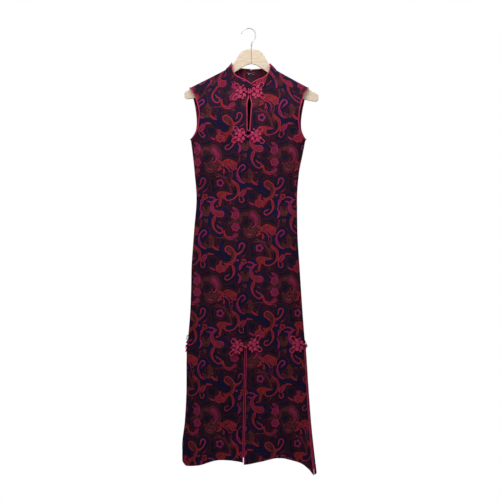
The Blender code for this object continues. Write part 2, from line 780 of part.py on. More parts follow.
def make_hanger(collection):
    """Two flat arms with rounded edges, butted at the middle and turned a little forward."""
    for side, label in ((-1, "left"), (1, "right")):
        outline = [(HANGER_JOINT, ARM_TOP["drop"][0])]
        outline += list(zip(ARM_TOP["out"], ARM_TOP["drop"]))[1:]
        outline += list(zip(ARM_LOW["out"], ARM_LOW["drop"]))[:0:-1]
        outline.append((HANGER_JOINT, ARM_LOW["drop"][0]))
        curve = bpy.data.curves.new(f"hanger_{label}", "CURVE")
        curve.dimensions = "2D"
        curve.fill_mode = "BOTH"
        curve.extrude = (HANGER_HALF - HANGER_EDGE) * MM
        curve.bevel_depth = HANGER_EDGE * MM
        curve.bevel_resolution = 2
        curve.offset = -HANGER_EDGE * MM
        spline = curve.splines.new("POLY")
        spline.points.add(len(outline) - 1)
        for spot, (out, drop) in zip(spline.points, outline):
            spot.co = (side * out * MM, -(drop + HANGER_TILT * side * out) * MM, 0.0, 1.0)
        spline.use_cyclic_u = True
        ob = link(bpy.data.objects.new(f"hanger_{label}", curve), collection, "wood")
        ob.rotation_euler = (math.pi / 2, 0.0, -side * HANGER_TURN)
        ob.location = (HANGER_X * MM, HANGER_BACK * MM, 0.0)


def main():
    clear_scene()
    dress = make_collection("cheongsam_dress")
    cutters = make_collection("cutters")
    make_front(dress)
    for side in (-1, 1):
        make_back(side, dress)
        make_collar(side, dress)
    make_piping(dress)
    for frog in FROGS:
        make_frog(frog, dress)
    make_zip(dress, cutters)
    make_collar_hook(dress)
    make_hanger(dress)
    make_hook(dress)


main()
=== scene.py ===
"""Looks for the sleeveless maxi cheongsam on its wooden hanger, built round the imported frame.

Metres in the scene; the cloth is worked out in mm as the frame's own source does: a drop below the
origin and an angle round the dress, 0 at the front line and 90 at the right side.
"""

import math

import bmesh
import bpy
import numpy as np
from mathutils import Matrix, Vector


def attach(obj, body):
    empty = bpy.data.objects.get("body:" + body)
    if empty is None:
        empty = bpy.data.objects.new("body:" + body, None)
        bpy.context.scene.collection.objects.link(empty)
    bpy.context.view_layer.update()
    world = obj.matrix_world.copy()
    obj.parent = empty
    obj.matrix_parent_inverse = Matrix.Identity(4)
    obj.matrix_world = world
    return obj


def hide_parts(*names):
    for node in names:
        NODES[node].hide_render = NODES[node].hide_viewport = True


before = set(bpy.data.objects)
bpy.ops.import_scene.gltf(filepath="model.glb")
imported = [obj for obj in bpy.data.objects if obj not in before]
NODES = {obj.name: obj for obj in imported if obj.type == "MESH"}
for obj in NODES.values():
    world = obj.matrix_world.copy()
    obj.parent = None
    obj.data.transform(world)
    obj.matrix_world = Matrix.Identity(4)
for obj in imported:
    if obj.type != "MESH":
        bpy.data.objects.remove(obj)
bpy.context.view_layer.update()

# Cloth, gaps and piping; SHELL is in metres and all else in mm.
MM = 0.001
SHELL = 0.7 * MM
CLOTH = 1.5
SEAM_GAP = 0.55
CLEAR = 0.3
PIPING_R = 1.9
SLIT_R = 1.5
EDGE_HALF = 4.25
SLIT_HALF = 3.45
# The hanger: where its middle is, how it tilts and bows, and the drops over which the cloth
# stops following it.
CLOTH_OVER_ARM = 2.5
HANGER_X = 6.7
HANGER_TILT = 0.02
HANGER_TURN = 0.07
HANGER_BACK = 1.9
HANGER_FADE = (230.0, 420.0)
BEND_REACH = 30.0
NOSE = 9.0
ARM_DEPTH = 9.2
ARM_FADE = 250.0
# Neck and collar.
NECK_X = (-79.0, 89.0)
NECK_MIDDLE = (NECK_X[0] + NECK_X[1]) / 2
NECK_HALF = (NECK_X[1] - NECK_X[0]) / 2
NECK_FRONT_DROP = 66.0
NECK_BACK_DROP = 27.0
COLLAR_HEIGHT = 27.0
COLLAR_LEAN = 15.0
COLLAR_LIFT = 1.15
COLLAR_END = 0.42
COLLAR_CURVE = 9.0
COLLAR_GAP = (1.3, 1.2)
COLLAR_RISE = 4.0
# Keyhole, underarm, slits and zip, by their drops; FRONT_LINE is drop and x.
KEYHOLE = (236.0, 350.0)
KEYHOLE_HALF = 6.0
KEYHOLE_JOIN = 12.0
KEYHOLE_ROUND = 6
KEYHOLE_NARROW = 0.8
UNDERARM = 373.0
YOKE = 262.0
SLIT_BASE = 1074.0
FRONT_SLIT_TOP = 1070.0
SIDE_SLIT_TOP = 1066.0
FRONT_SLIT_FADE = 10
SIDE_SLIT_FADE = 6
ZIP_BOTTOM = 611.0
ZIP_FADE = 8
ZIP_HALF_GAP = 2.6
ZIP_X = 3.0
FRONT_LINE = ((200.0, 1.0), (360.0, -4.0), (560.0, -8.0), (1070.0, -12.5), (1450.0, -20.5))

# Columns and rows of the visible cloth. Each shoulder share is where the neck begins, RIDGE is how
# far below the top edge the first rows lie, and the edges are fitted over EDGE_SHARE of a row.
FRONT_COLUMNS = 96
FRONT_SHOULDER = 5 / 12
BACK_COLUMNS = 90
BACK_SHOULDER = 0.4
RIDGE = (0.0003, 0.02, 0.2, 0.6, 1.4, 2.5, 4.5, 7.0, 11.0, 15.0)
YOKE_STEPS = 40
BODY_STEPS = 292
SKIRT_STEPS = 136
EDGE_SHARE = 0.3
EDGE_RISE = (0.3, 1.2)
HEM_GUESS = 1450.0
HEM_ROUNDS = 4

# The dress by drop: x of both sides, depth in front and behind, and how many degrees the side seams
# lie off the sides, to the back on the left and to the front on the right.
RINGS = {
    "drop": (110, 170, 205, 272, 330, 373, 420, 487, 568, 675, 810, 917, 1025, 1079, 1213, 1320,
             1401, 1500),
    "left": (-233, -232, -228, -213, -202, -197, -191, -184, -178, -186, -195, -198, -205, -211,
             -212, -218, -226, -225),
    "right": (240, 236, 230, 211, 195, 188, 179, 166, 160, 161, 169, 176, 184, 189, 199, 207,
              215, 227),
    "front": (9, 13, 17, 27, 35, 39, 39, 33, 27, 30, 34, 36, 39, 41, 42, 42, 44, 46),
    "back": (7, 8, 9, 16, 26, 31, 31, 29, 28, 30, 34, 35, 37, 38, 40, 41, 42, 44),
    "turn_right": (0, 0, 0, 0, 0, 0, 0, 0, 1, 2, 4, 5, 7, 8, 11, 13, 15, 16),
    "turn_left": (0, 0, 0, 0, 0, 0, 1, 4, 9, 16, 24, 30, 35, 35, 36, 37, 38, 38),
}
# x of the armholes' edges, the top of the cloth by its distance from the hanger's middle, and the
# drop of the hem by angle.
ARMHOLES = {
    "drop": (198, 216, 243, 285, 314, 336, 354, 373),
    "front_left": (-198.5, -187, -176, -167, -169, -173, -181, -196.9),
    "front_right": (196, 184, 175, 165, 164, 166, 173, 187.9),
    "back_left": (-198.5, -192, -184, -177, -175, -177, -184, -196.9),
    "back_right": (196, 189, 182, 174, 171, 172, 178, 187.9),
}
SHOULDER = {"out": (79, 84, 130, 170, 206), "drop": (136.5, 140.0, 165.6, 186.8, 205.6)}
HEM = {
    "angle": (-180, -150, -105, -85, -68, -50, -25, -5, -4, 8, 27, 42, 52, 62, 72, 90, 110, 150,
              180),
    "drop": (1444, 1444, 1448, 1452, 1467, 1463, 1444, 1452, 1459, 1451, 1437, 1448, 1458, 1476,
             1495, 1490, 1476, 1446, 1444),
}
# The large folds; columns: angle, wide, start, full, end and out, angles in degrees and drops in mm.
FOLDS = (
    (-26, 7, 300, 390, 520, -5), (33, 6, 320, 400, 540, -5), (50, 7, 330, 420, 600, 4),
    (-55, 8, 330, 420, 600, 4), (-40, 13, 700, 1500, 2600, 9), (-68, 8, 800, 1500, 2600, -9),
    (-14, 9, 900, 1500, 2600, -6), (18, 10, 800, 1500, 2600, 6), (45, 11, 700, 1500, 2600, -8),
    (68, 9, 1000, 1500, 2600, 7), (130, 13, 650, 1500, 2600, 9), (158, 10, 800, 1500, 2600, -7),
    (-158, 10, 800, 1500, 2600, -6), (-130, 13, 650, 1500, 2600, 8),
)


def smooth_curve(xs, ys, x):
    """A curve through the points with no overshoot, as a tailor's curve joins marks."""
    xs = np.asarray(xs, float)
    ys = np.asarray(ys, float)
    step = np.diff(xs)
    rise = np.diff(ys) / step
    slope = np.zeros(len(xs))
    slope[0] = rise[0]
    slope[-1] = rise[-1]
    both = rise[:-1] * rise[1:] > 0
    mean = 2 * rise[:-1] * rise[1:] / np.where(both, rise[:-1] + rise[1:], 1.0)
    slope[1:-1] = np.where(both, mean, 0.0)
    x = np.clip(x, xs[0], xs[-1])
    k = np.clip(np.searchsorted(xs, x, side="right") - 1, 0, len(xs) - 2)
    t = (x - xs[k]) / step[k]
    a = ys[k] * (1 + 2 * t) * (1 - t) ** 2 + ys[k + 1] * t * t * (3 - 2 * t)
    b = slope[k] * t * (1 - t) ** 2 - slope[k + 1] * t * t * (1 - t)
    return a + b * step[k]


def ring(name, drop):
    return smooth_curve(RINGS["drop"], RINGS[name], drop)


def ease(low, high, value):
    t = np.clip((value - low) / (high - low), 0.0, 1.0)
    return t * t * (3 - 2 * t)


def span(drop):
    """Middle and half-width of the dress at a drop, in mm."""
    left = ring("left", drop)
    right = ring("right", drop)
    return (left + right) / 2, (right - left) / 2


def unit(vectors):
    return vectors / np.maximum(np.linalg.norm(vectors, axis=-1, keepdims=True), 1e-9)


def run_along(line):
    """How far along a line each of its points lies."""
    return np.concatenate([[0], np.cumsum(np.linalg.norm(np.diff(line, axis=0), axis=-1))])


def panel_name(side, front):
    return ("front" if front else "back") + ("_left" if side < 0 else "_right")


def shoulder_drop(x):
    """The top of the cloth over the hanger's arm; it runs level across the neck."""
    out = np.abs(x - HANGER_X)
    edge = smooth_curve(SHOULDER["out"], SHOULDER["drop"], out)
    return edge + HANGER_TILT * (x - HANGER_X) - CLOTH_OVER_ARM


def dress_points(angle, drop, out=0.0):
    """Points on the dress's outer face, in mm; out moves them off the cloth."""
    angle, drop = np.broadcast_arrays(np.asarray(angle, float), np.asarray(drop, float))
    turn = np.radians(angle)
    middle, half = span(drop)
    x = middle + half * np.sin(turn)
    front = np.cos(turn) >= 0
    round_depth = np.where(front, ring("front", drop), ring("back", drop))
    depth = round_depth * np.abs(np.cos(turn))
    for crest, wide, start, full, end, high in FOLDS:
        away = ((angle - crest + 180.0) % 360.0 - 180.0) / wide
        grown = ease(start, full, drop) * (1 - ease(full, end, drop))
        depth = depth + high * np.exp(-away * away) * grown
    nose = np.clip((drop - shoulder_drop(x)) / NOSE, 0.0, 1.0)
    rounded = np.sqrt(nose * (2 - nose))
    arm = ARM_DEPTH * (1 - ease(ARM_FADE, UNDERARM, drop))
    upper = drop < UNDERARM
    depth = np.where(upper, (depth + arm + out) * rounded, depth)
    side = np.where(front, -1.0, 1.0)
    bend = HANGER_TURN * (np.hypot(x - HANGER_X, BEND_REACH) - BEND_REACH)
    y = side * depth - bend * (1 - ease(*HANGER_FADE, drop))
    along = half * np.abs(np.cos(turn))
    across = round_depth * np.sin(turn)
    size = np.maximum(np.hypot(across, along), 1e-9)
    x = x + np.where(upper, 0.0, out * across / size)
    y = y + np.where(upper, 0.0, side * out * along / size)
    z = -drop + np.where(upper, out * (1 - rounded), 0.0)
    return np.stack((x, y, z), axis=-1)


def angle_at(x, drop, front=True):
    middle, half = span(drop)
    turn = np.degrees(np.arcsin(np.clip((x - middle) / half, -1, 1)))
    return turn if front else 180.0 - turn


def x_at(angle, drop):
    middle, half = span(drop)
    return middle + half * np.sin(np.radians(angle))


def front_line(drop):
    return np.interp(drop, *zip(*FRONT_LINE))


def side_angles(drop):
    return -90.0 - ring("turn_left", drop), 90.0 - ring("turn_right", drop)


def shifted(angle, drop, along):
    """The angle that lies along mm further round the ring."""
    here = dress_points(angle, drop)
    there = dress_points(angle + 0.5, drop)
    return angle + 0.5 * along / np.maximum(np.linalg.norm(there - here, axis=-1), 0.01)


def neckline(place, deepest):
    """Drop of the neck seam at x; a half ellipse between the neck points."""
    across = np.clip((place - NECK_MIDDLE) / NECK_HALF, -1, 1)
    edge = np.where(place < NECK_MIDDLE, shoulder_drop(NECK_X[0]), shoulder_drop(NECK_X[1]))
    return edge + deepest * np.sqrt(1 - across * across)


def top_drop(x, deepest):
    inside = (x > NECK_X[0]) & (x < NECK_X[1])
    return np.where(inside, neckline(x, deepest), shoulder_drop(x))


def keyhole_half(drop):
    """Half the opening's width: closed at the collar frog, round below, narrow at the foot."""
    t = np.clip((drop - KEYHOLE[0]) / (KEYHOLE[1] - KEYHOLE[0]), 0.0, 1.0)
    round_top = np.sqrt(np.minimum(1.0, KEYHOLE_ROUND * t))
    return EDGE_HALF + KEYHOLE_HALF * round_top * (1 - KEYHOLE_NARROW * t)


def panel_edges(side, front, drop):
    """Side edge and middle edge of a panel, as angles; the back's run on past the right side."""
    marks = ARMHOLES[panel_name(side, front)]
    armhole = angle_at(smooth_curve(ARMHOLES["drop"], marks, drop), drop, front)
    left, right = side_angles(drop)
    seam = right if side > 0 else left if front else left + 360.0
    slit = EDGE_HALF * ease(SIDE_SLIT_TOP - SIDE_SLIT_FADE, SLIT_BASE, drop)
    way = -side if front else side
    outer = shifted(np.where(drop >= UNDERARM, seam, armhole), drop, way * (SEAM_GAP + slit))
    if not front:
        gap = ZIP_HALF_GAP + (SEAM_GAP - ZIP_HALF_GAP) * ease(ZIP_BOTTOM - ZIP_FADE, ZIP_BOTTOM, drop)
        return outer, shifted(angle_at(ZIP_X, drop, False), drop, -side * gap)
    half = keyhole_half(drop) * (1 - ease(KEYHOLE[1], KEYHOLE[1] + KEYHOLE_JOIN, drop))
    inner = shifted(angle_at(front_line(drop), drop), drop, side * half)
    slit = SLIT_HALF * ease(FRONT_SLIT_TOP - FRONT_SLIT_FADE, SLIT_BASE, drop)
    return outer, shifted(inner, drop, side * slit)


def hem_drop(angle):
    wrapped = (angle + 180.0) % 360.0 - 180.0
    return smooth_curve(HEM["angle"], HEM["drop"], wrapped)


def panel_angles(side, front):
    """Angle and drop at every row and column of one half of the front or back."""
    count = FRONT_COLUMNS if front else BACK_COLUMNS
    shoulder = FRONT_SHOULDER if front else BACK_SHOULDER
    deepest = NECK_FRONT_DROP if front else NECK_BACK_DROP
    share = np.arange(count + 1) / count
    tip = ARMHOLES[panel_name(side, front)][0]
    neck = NECK_X[0 if side < 0 else 1]
    centre = FRONT_LINE[0][1] + side * EDGE_HALF if front else ZIP_X + side * ZIP_HALF_GAP
    bend = math.pi / 2 * np.clip((share - shoulder) / (1 - shoulder), 0, 1)
    places = np.where(share < shoulder, tip + (neck - tip) * share / shoulder,
                      centre + (neck - centre) * np.cos(bend))
    tops = top_drop(places, deepest)
    below = np.array([*RIDGE, *[RIDGE[-1]] * YOKE_STEPS])[:, None]
    down_share = np.array([*[0.0] * len(RIDGE), *np.arange(1, YOKE_STEPS + 1) / (YOKE_STEPS + 1)])
    first = tops[None, :] + below
    drop = first + (YOKE - first) * down_share[:, None]
    start, end = panel_edges(side, front, np.full(1, YOKE))
    goal = x_at(start + (end - start) * share, YOKE)
    place = places + (goal - places) * (drop - tops) / (YOKE - tops)
    falloffs = (1 - share / EDGE_SHARE, (share - (1 - EDGE_SHARE)) / EDGE_SHARE)
    for which, column in enumerate((0, count)):
        falloff = np.clip(falloffs[which], 0, 1) ** 2
        edge = panel_edges(side, front, drop[:, column])[which]
        moved = x_at(edge, drop[:, column]) - place[:, column]
        moved = moved * ease(*EDGE_RISE, drop[:, column] - tops[column])
        place = place + moved[:, None] * falloff
    rows = [(angle_at(place, drop, front), drop)]
    body = np.linspace(YOKE, SLIT_BASE, BODY_STEPS + 1)
    start, end = panel_edges(side, front, body)
    angle = start[:, None] + (end - start)[:, None] * share
    rows.append((angle, np.repeat(body[:, None], count + 1, 1)))
    part = np.arange(1, SKIRT_STEPS + 1)[:, None] / SKIRT_STEPS
    drop = SLIT_BASE + (HEM_GUESS - SLIT_BASE) * np.repeat(part, count + 1, 1)
    for _ in range(HEM_ROUNDS):
        start, end = panel_edges(side, front, drop)
        angle = start + (end - start) * share
        drop = SLIT_BASE + (hem_drop(angle) - SLIT_BASE) * part
    rows.append((angle, drop))
    return np.vstack([r[0] for r in rows]), np.vstack([r[1] for r in rows])


def flat_places(points, side, inner_x):
    """How far across the cut cloth each point lies: mm from the middle line, along the row."""
    step = np.linalg.norm(np.diff(points[:, ::-1], axis=1), axis=-1)
    along = np.concatenate([np.zeros((len(points), 1)), np.cumsum(step, axis=1)], axis=1)[:, ::-1]
    return inner_x[:, None] + side * along, along


def outward(points, front):
    """Unit normals of a grid, pointing off the dress."""
    across = np.gradient(points, axis=1)
    down = np.gradient(points, axis=0)
    normal = unit(np.cross(across, down))
    middle = normal[len(points) // 2, points.shape[1] // 2]
    return normal * (-1 if middle[1] * (-1 if front else 1) < 0 else 1)


# The printed cloth repeats every REPEAT_X mm across and, half a repeat over, every REPEAT_Y down.
REPEAT_X = 262.0
REPEAT_Y = 218.0
PRINT_STEP = 1.25
FAR = 24.0

# One repeat, painted in this order; columns: x, y, heading, bend, long, wide, hue and heart. x and y
# say where the broad end starts, in mm; heading is the way it runs, 0 to the right and 90 down; bend
# is how far it curls on its way, in degrees. A nest is a comma with up to two more inside it, each
# at least FINEST mm wide, and a fan is four leaves from one foot.
MOTIFS = {
    # Fine stems under everything.
    "stem": (
        (4, 52, -20, 90, 150, 8, "leaf"), (134, 60, 10, -110, 150, 8, "leaf"),
        (60, 160, -40, 120, 140, 8, "crimson"), (190, 168, -60, -110, 150, 8, "leaf"),
        (20, 108, 30, -80, 120, 7, "magenta"),
    ),
    # Fans of leaves.
    "fan": (
        (8, 108, -75, 34, 62, 17, "leaf"), (186, 2, 78, 30, 58, 16, "crimson"),
        (84, 108, 112, 34, 56, 15, "magenta"), (112, 212, -48, 30, 60, 17, "leaf"),
        (238, 206, 190, 32, 56, 15, "leaf"), (158, 112, 60, 30, 54, 15, "crimson"),
    ),
    # Curled leaves, one inside another.
    "nest": (
        (132, 30, -30, -215, 118, 38, "leaf", "magenta"),
        (214, 80, -105, 215, 112, 36, "leaf", "crimson"),
        (10, 188, 30, 215, 104, 34, "leaf", "magenta"), (32, 24, 200, 235, 138, 42, "navy", "crimson"),
        (240, 30, 150, -225, 128, 38, "navy", "magenta"),
        (106, 74, 95, 225, 132, 40, "navy", "crimson"),
        (138, 140, -150, -235, 132, 42, "navy", "magenta"),
        (236, 140, 250, 215, 118, 36, "navy", "crimson"),
        (56, 182, -15, -215, 118, 36, "navy", "crimson"), (60, 86, 20, 205, 88, 27, "crimson", "leaf"),
        (190, 130, 5, -195, 92, 27, "crimson", "navy"),
        (166, 186, 175, 195, 84, 25, "magenta", "crimson"),
        (84, 40, 130, 190, 66, 20, "crimson", "magenta"),
        (186, 58, -60, -180, 64, 19, "magenta", "navy"),
        (34, 128, 80, 180, 62, 18, "magenta", "crimson"),
    ),
    # Small leaves where the ground is bare.
    "leaf": (
        (152, 6, 20, 60, 40, 11, "crimson"), (66, 134, 150, -60, 44, 12, "crimson"),
        (202, 164, 20, 60, 42, 12, "magenta"), (4, 70, 60, -60, 38, 10, "crimson"),
        (100, 172, 80, 60, 36, 10, "magenta"), (250, 100, 100, 50, 40, 11, "magenta"),
        (150, 92, -20, -60, 36, 10, "leaf"),
    ),
    # Flowers with an eye; bend is the number of petals, long how far out they stand.
    "flower": (
        (84, 12, 10, 6, 9.5, 13.5, "magenta", "crimson"), (164, 82, 0, 5, 8.5, 12.5, "magenta", "navy"),
        (32, 150, 30, 6, 9.5, 13.5, "crimson", "magenta"),
        (214, 192, 15, 5, 9, 13, "magenta", "crimson"), (210, 30, 40, 5, 7, 10, "crimson", "magenta"),
        (112, 128, 20, 5, 7, 10, "crimson", "leaf"),
    ),
}
FAN = (-39, -13, 13, 39)
NEST = (1.0, 0.56, 0.25)
FINEST = 9.0
INNER_BEND = 0.35
INNER_LONG = 0.12
CURL_GROWTH = 0.35
EYE = 0.95
HUES = ("leaf", "navy", "crimson", "magenta")
PROFILES = {
    "stem": lambda t: 0.30 + 0.70 * np.sin(math.pi * t) ** 0.8,
    "comma": lambda t: 0.06 + 0.94 * (1 - t) ** 0.8,
    "leaf": lambda t: 0.05 + 0.95 * np.sin(math.pi * t ** 0.8),
}


def motif_line(kind, x, y, heading, bend, long, wide):
    """Middle line and half-width along one motif, in mm; a flower is a ring of round petals."""
    if kind == "spot":
        return np.array([[x, y]]), np.array([wide / 2])
    if kind == "flower":
        turns = np.radians(heading + 360 / bend * np.arange(int(bend)))
        petals = np.stack((x + long * np.cos(turns), y + long * np.sin(turns)), axis=1)
        return petals, np.full(int(bend), wide / 2)
    t = np.linspace(0, 1, 26)
    way = np.radians(heading + bend * (t + CURL_GROWTH * t * t) / (1 + CURL_GROWTH))
    step = long / (len(t) - 1)
    xs = x + np.concatenate([[0], np.cumsum(np.cos(way[1:]) * step)])
    ys = y + np.concatenate([[0], np.cumsum(np.sin(way[1:]) * step)])
    return np.stack((xs, ys), axis=1), wide / 2 * PROFILES[kind](t)


def motif_parts(kind, x, y, heading, bend, long, wide, hue, heart=None):
    """The single shapes that a motif is painted from: kind, middle line, half-width and hue."""
    if kind == "fan":
        for turn in FAN:
            curl = bend * math.copysign(1, turn)
            yield ("leaf", *motif_line("leaf", x, y, heading + turn, curl, long, wide), hue)
    elif kind == "nest":
        for share, shade in zip(NEST, (hue, heart, hue)):
            if wide * share >= FINEST:
                curl = bend * (INNER_BEND + (1 - INNER_BEND) * share)
                reach = long * (INNER_LONG + (1 - INNER_LONG) * share)
                yield ("comma", *motif_line("comma", x, y, heading, curl, reach, wide * share), shade)
    else:
        yield (kind, *motif_line(kind, x, y, heading, bend, long, wide), hue)
        if kind == "flower":
            yield ("spot", *motif_line("spot", x, y, 0, 0, 0, EYE * wide), heart)


def inside(px, py, line, radius, loose):
    """How deep each place lies in a motif, in mm; below 0 outside it."""
    deep = np.full(px.shape, -FAR)
    if loose or len(line) == 1:
        for (x, y), r in zip(line, radius):
            deep = np.maximum(deep, r - np.hypot(px - x, py - y))
        return deep
    for a, b, ra, rb in zip(line[:-1], line[1:], radius[:-1], radius[1:]):
        run = b - a
        t = np.clip(((px - a[0]) * run[0] + (py - a[1]) * run[1]) / (run @ run), 0, 1)
        gap = np.hypot(px - a[0] - t * run[0], py - a[1] - t * run[1])
        deep = np.maximum(deep, ra + (rb - ra) * t - gap)
    return deep


def print_tile():
    """How deep each place of one full repeat lies in each hue, in mm: hue, row, column."""
    wide = round(REPEAT_X / PRINT_STEP)
    tall = round(2 * REPEAT_Y / PRINT_STEP)
    xs = np.arange(wide) * REPEAT_X / wide
    ys = np.arange(tall) * 2 * REPEAT_Y / tall
    px, py = np.meshgrid(xs, ys)
    fields = np.full((len(HUES), tall, wide), -FAR)
    motifs = [(shape, *row) for shape, rows in MOTIFS.items() for row in rows]
    for motif in motifs:
        for kind, line, radius, hue in motif_parts(*motif):
            deep = np.full((tall, wide), -FAR)
            low = line.min(0) - radius.max() - FAR
            high = line.max(0) + radius.max() + FAR
            for j in range(-3, 4):
                for i in range(-3, 4):
                    dx = i * REPEAT_X + (j % 2) * REPEAT_X / 2
                    dy = j * REPEAT_Y
                    c = np.flatnonzero((xs >= low[0] + dx) & (xs <= high[0] + dx))
                    r = np.flatnonzero((ys >= low[1] + dy) & (ys <= high[1] + dy))
                    if len(c) and len(r):
                        part = np.ix_(r, c)
                        found = inside(px[part] - dx, py[part] - dy, line, radius, kind == "flower")
                        deep[part] = np.maximum(deep[part], found)
            for k, name in enumerate(HUES):
                if name == hue:
                    fields[k] = np.maximum(fields[k], deep)
                else:
                    fields[k] = np.minimum(fields[k], -deep)
    return fields


def print_at(fields, across, down):
    """The tile's depths at places on the cut cloth, in mm."""
    tall, wide = fields.shape[1:]
    c = (np.asarray(across) % REPEAT_X) / REPEAT_X * wide
    r = (np.asarray(down) % (2 * REPEAT_Y)) / (2 * REPEAT_Y) * tall
    c0 = np.floor(c).astype(int)
    r0 = np.floor(r).astype(int)
    fc = c - c0
    fr = r - r0
    a = fields[:, r0 % tall, c0 % wide]
    b = fields[:, r0 % tall, (c0 + 1) % wide]
    d = fields[:, (r0 + 1) % tall, c0 % wide]
    e = fields[:, (r0 + 1) % tall, (c0 + 1) % wide]
    return (a * (1 - fc) + b * fc) * (1 - fr) + (d * (1 - fc) + e * fc) * fr


# Creases laid from the bust and the hips down to the skirt; columns: x0, y0, x1, y1, wide
# and out. The ends lie across and down the cut cloth, in mm; wide is the half-width and out how far
# the cloth stands off, below 0 for a trough.
CREASES = {
    "front_left": (
        (-88, 318, -78, 452, 9, -2.6), (-104, 330, -96, 470, 8, 2.2), (-128, 352, -108, 500, 9, -2.0),
        (-60, 380, -54, 540, 10, 1.6), (-36, 420, -40, 620, 12, -1.4), (-170, 380, -92, 432, 7, -1.8),
        (-182, 392, -120, 470, 7, 1.5), (-150, 560, -60, 600, 9, -1.5), (-176, 600, -84, 628, 8, 1.3),
        (-150, 240, -120, 330, 9, -1.3), (-100, 200, -70, 300, 10, 1.3), (-60, 640, -74, 1420, 15, 2.8),
        (-94, 700, -110, 1440, 13, -3.0), (-130, 640, -150, 1440, 15, 2.6),
        (-168, 700, -190, 1440, 12, -2.6), (-30, 820, -44, 1420, 12, -2.0),
        (-186, 1100, -214, 1440, 10, 2.4), (-120, 1200, -136, 1446, 9, -2.0),
        (-80, 1240, -90, 1446, 9, 1.8),
    ),
    "front_right": (
        (112, 330, 122, 452, 9, -2.8), (98, 340, 104, 470, 8, 2.0), (134, 350, 136, 500, 9, 1.9),
        (72, 400, 80, 540, 10, -1.6), (40, 430, 38, 640, 12, 1.3), (170, 384, 100, 436, 7, -1.6),
        (150, 570, 60, 606, 9, -1.4), (160, 610, 90, 640, 8, 1.2), (150, 250, 112, 330, 9, -1.2),
        (108, 210, 74, 300, 10, 1.2), (34, 660, 26, 1430, 14, -2.2), (64, 640, 62, 1430, 13, 2.6),
        (100, 700, 108, 1440, 14, -3.0), (134, 660, 150, 1450, 14, 2.6),
        (160, 760, 186, 1460, 11, -2.4), (84, 1180, 84, 1440, 9, -1.8), (172, 1150, 206, 1470, 10, 2.2),
    ),
    "back_left": (
        (-40, 300, -60, 520, 13, -2.0), (-84, 320, -92, 540, 12, 2.2), (-128, 330, -122, 520, 11, -2.0),
        (-20, 560, -120, 640, 10, 1.8), (-24, 610, -130, 700, 9, -1.8), (-60, 220, -70, 300, 12, -1.2),
        (-40, 700, -46, 1430, 15, 2.8), (-78, 690, -92, 1430, 14, -3.0),
        (-118, 740, -140, 1440, 15, 2.6), (-20, 860, -22, 1420, 11, -1.8),
        (-100, 1160, -116, 1430, 9, 1.8),
    ),
    "back_right": (
        (42, 310, 64, 520, 13, -2.2), (88, 320, 90, 540, 12, 2.0), (130, 340, 118, 520, 11, -1.8),
        (24, 565, 126, 632, 10, -1.8), (26, 612, 140, 690, 9, 1.8), (66, 220, 74, 300, 12, 1.2),
        (44, 700, 50, 1430, 14, -2.8), (80, 680, 92, 1440, 15, 3.0), (122, 730, 140, 1440, 14, -2.8),
        (160, 800, 184, 1440, 12, 2.4), (22, 880, 20, 1420, 11, 1.6), (104, 1150, 116, 1430, 9, -1.8),
    ),
}
EDGE_FADE = (3.0, 20.0)
SWELL = 0.45
WANDER = 0.35
CREASE_IN = (-0.12, 0.28)
CREASE_OUT = (0.78, 1.1)


def creased(name, across, down, edge):
    """How far the cloth stands off its form, in mm: the creases and a soft uneven swell."""
    off = np.zeros(across.shape)
    for x0, y0, x1, y1, wide, out in CREASES[name]:
        run = np.array((x1 - x0, y1 - y0), float)
        long = np.linalg.norm(run)
        t = ((across - x0) * run[0] + (down - y0) * run[1]) / long ** 2
        wander = WANDER * wide * np.sin(5.1 * t + 0.03 * x0)
        away = ((across - x0) * run[1] - (down - y0) * run[0]) / long + wander
        reach = ease(*CREASE_IN, t) * (1 - ease(*CREASE_OUT, t))
        uneven = 0.8 + 0.2 * np.sin(9 * t + 0.05 * y0)
        off += out * np.exp(-(away / wide) ** 2) * reach * uneven
    swell = np.sin(across / 31 + 0.6 * np.sin(down / 83)) * np.sin(down / 57 + across / 140)
    swell += 0.6 * np.sin(across / 13.5 + down / 41) * np.sin(down / 29 - across / 77)
    return (off + SWELL * swell) * ease(*EDGE_FADE, edge)


def new_material(name, metallic=0.0, specular=0.5, sheen=0.0, coat=0.0):
    """A Principled material; what is the same all over is set on its own sockets here."""
    made = bpy.data.materials.new(name)
    made.use_nodes = True
    tree = made.node_tree
    same = {"Metallic": metallic, "Specular IOR Level": specular, "Sheen Weight": sheen,
            "Sheen Roughness": 0.45, "Sheen Tint": (0.9, 0.55, 0.65, 1.0), "Coat Weight": coat,
            "Coat Roughness": 0.25}
    for socket, value in same.items():
        tree.nodes["Principled BSDF"].inputs[socket].default_value = value
    return made, tree


def plug(tree, socket, value):
    """Links a socket given as the value, or sets a number or colour."""
    if isinstance(value, bpy.types.NodeSocket):
        tree.links.new(value, socket)
    else:
        socket.default_value = value


def node(tree, kind, sockets=None, **settings):
    """Adds a node with its settings; inputs are named or numbered."""
    made = tree.nodes.new(kind)
    for name, value in settings.items():
        setattr(made, name, value)
    for name, value in (sockets or {}).items():
        plug(tree, made.inputs[name], value)
    return made


def linear(hex_colour):
    """A colour written as on a paint chart, in the renderer's linear values."""
    parts = [int(hex_colour[k:k + 2], 16) / 255 for k in (0, 2, 4)]
    return tuple(p / 12.92 if p <= 0.04045 else ((p + 0.055) / 1.055) ** 2.4 for p in parts) + (1.0,)


def ramp(tree, value, stops, interpolation="LINEAR"):
    made = node(tree, "ShaderNodeValToRGB", {"Fac": value})
    made.color_ramp.interpolation = interpolation
    band = made.color_ramp.elements
    band[0].position = stops[0][0]
    band[0].color = linear(stops[0][1])
    band[1].position = stops[-1][0]
    band[1].color = linear(stops[-1][1])
    for place, colour in stops[1:-1]:
        band.new(place).color = linear(colour)
    return made.outputs["Color"]


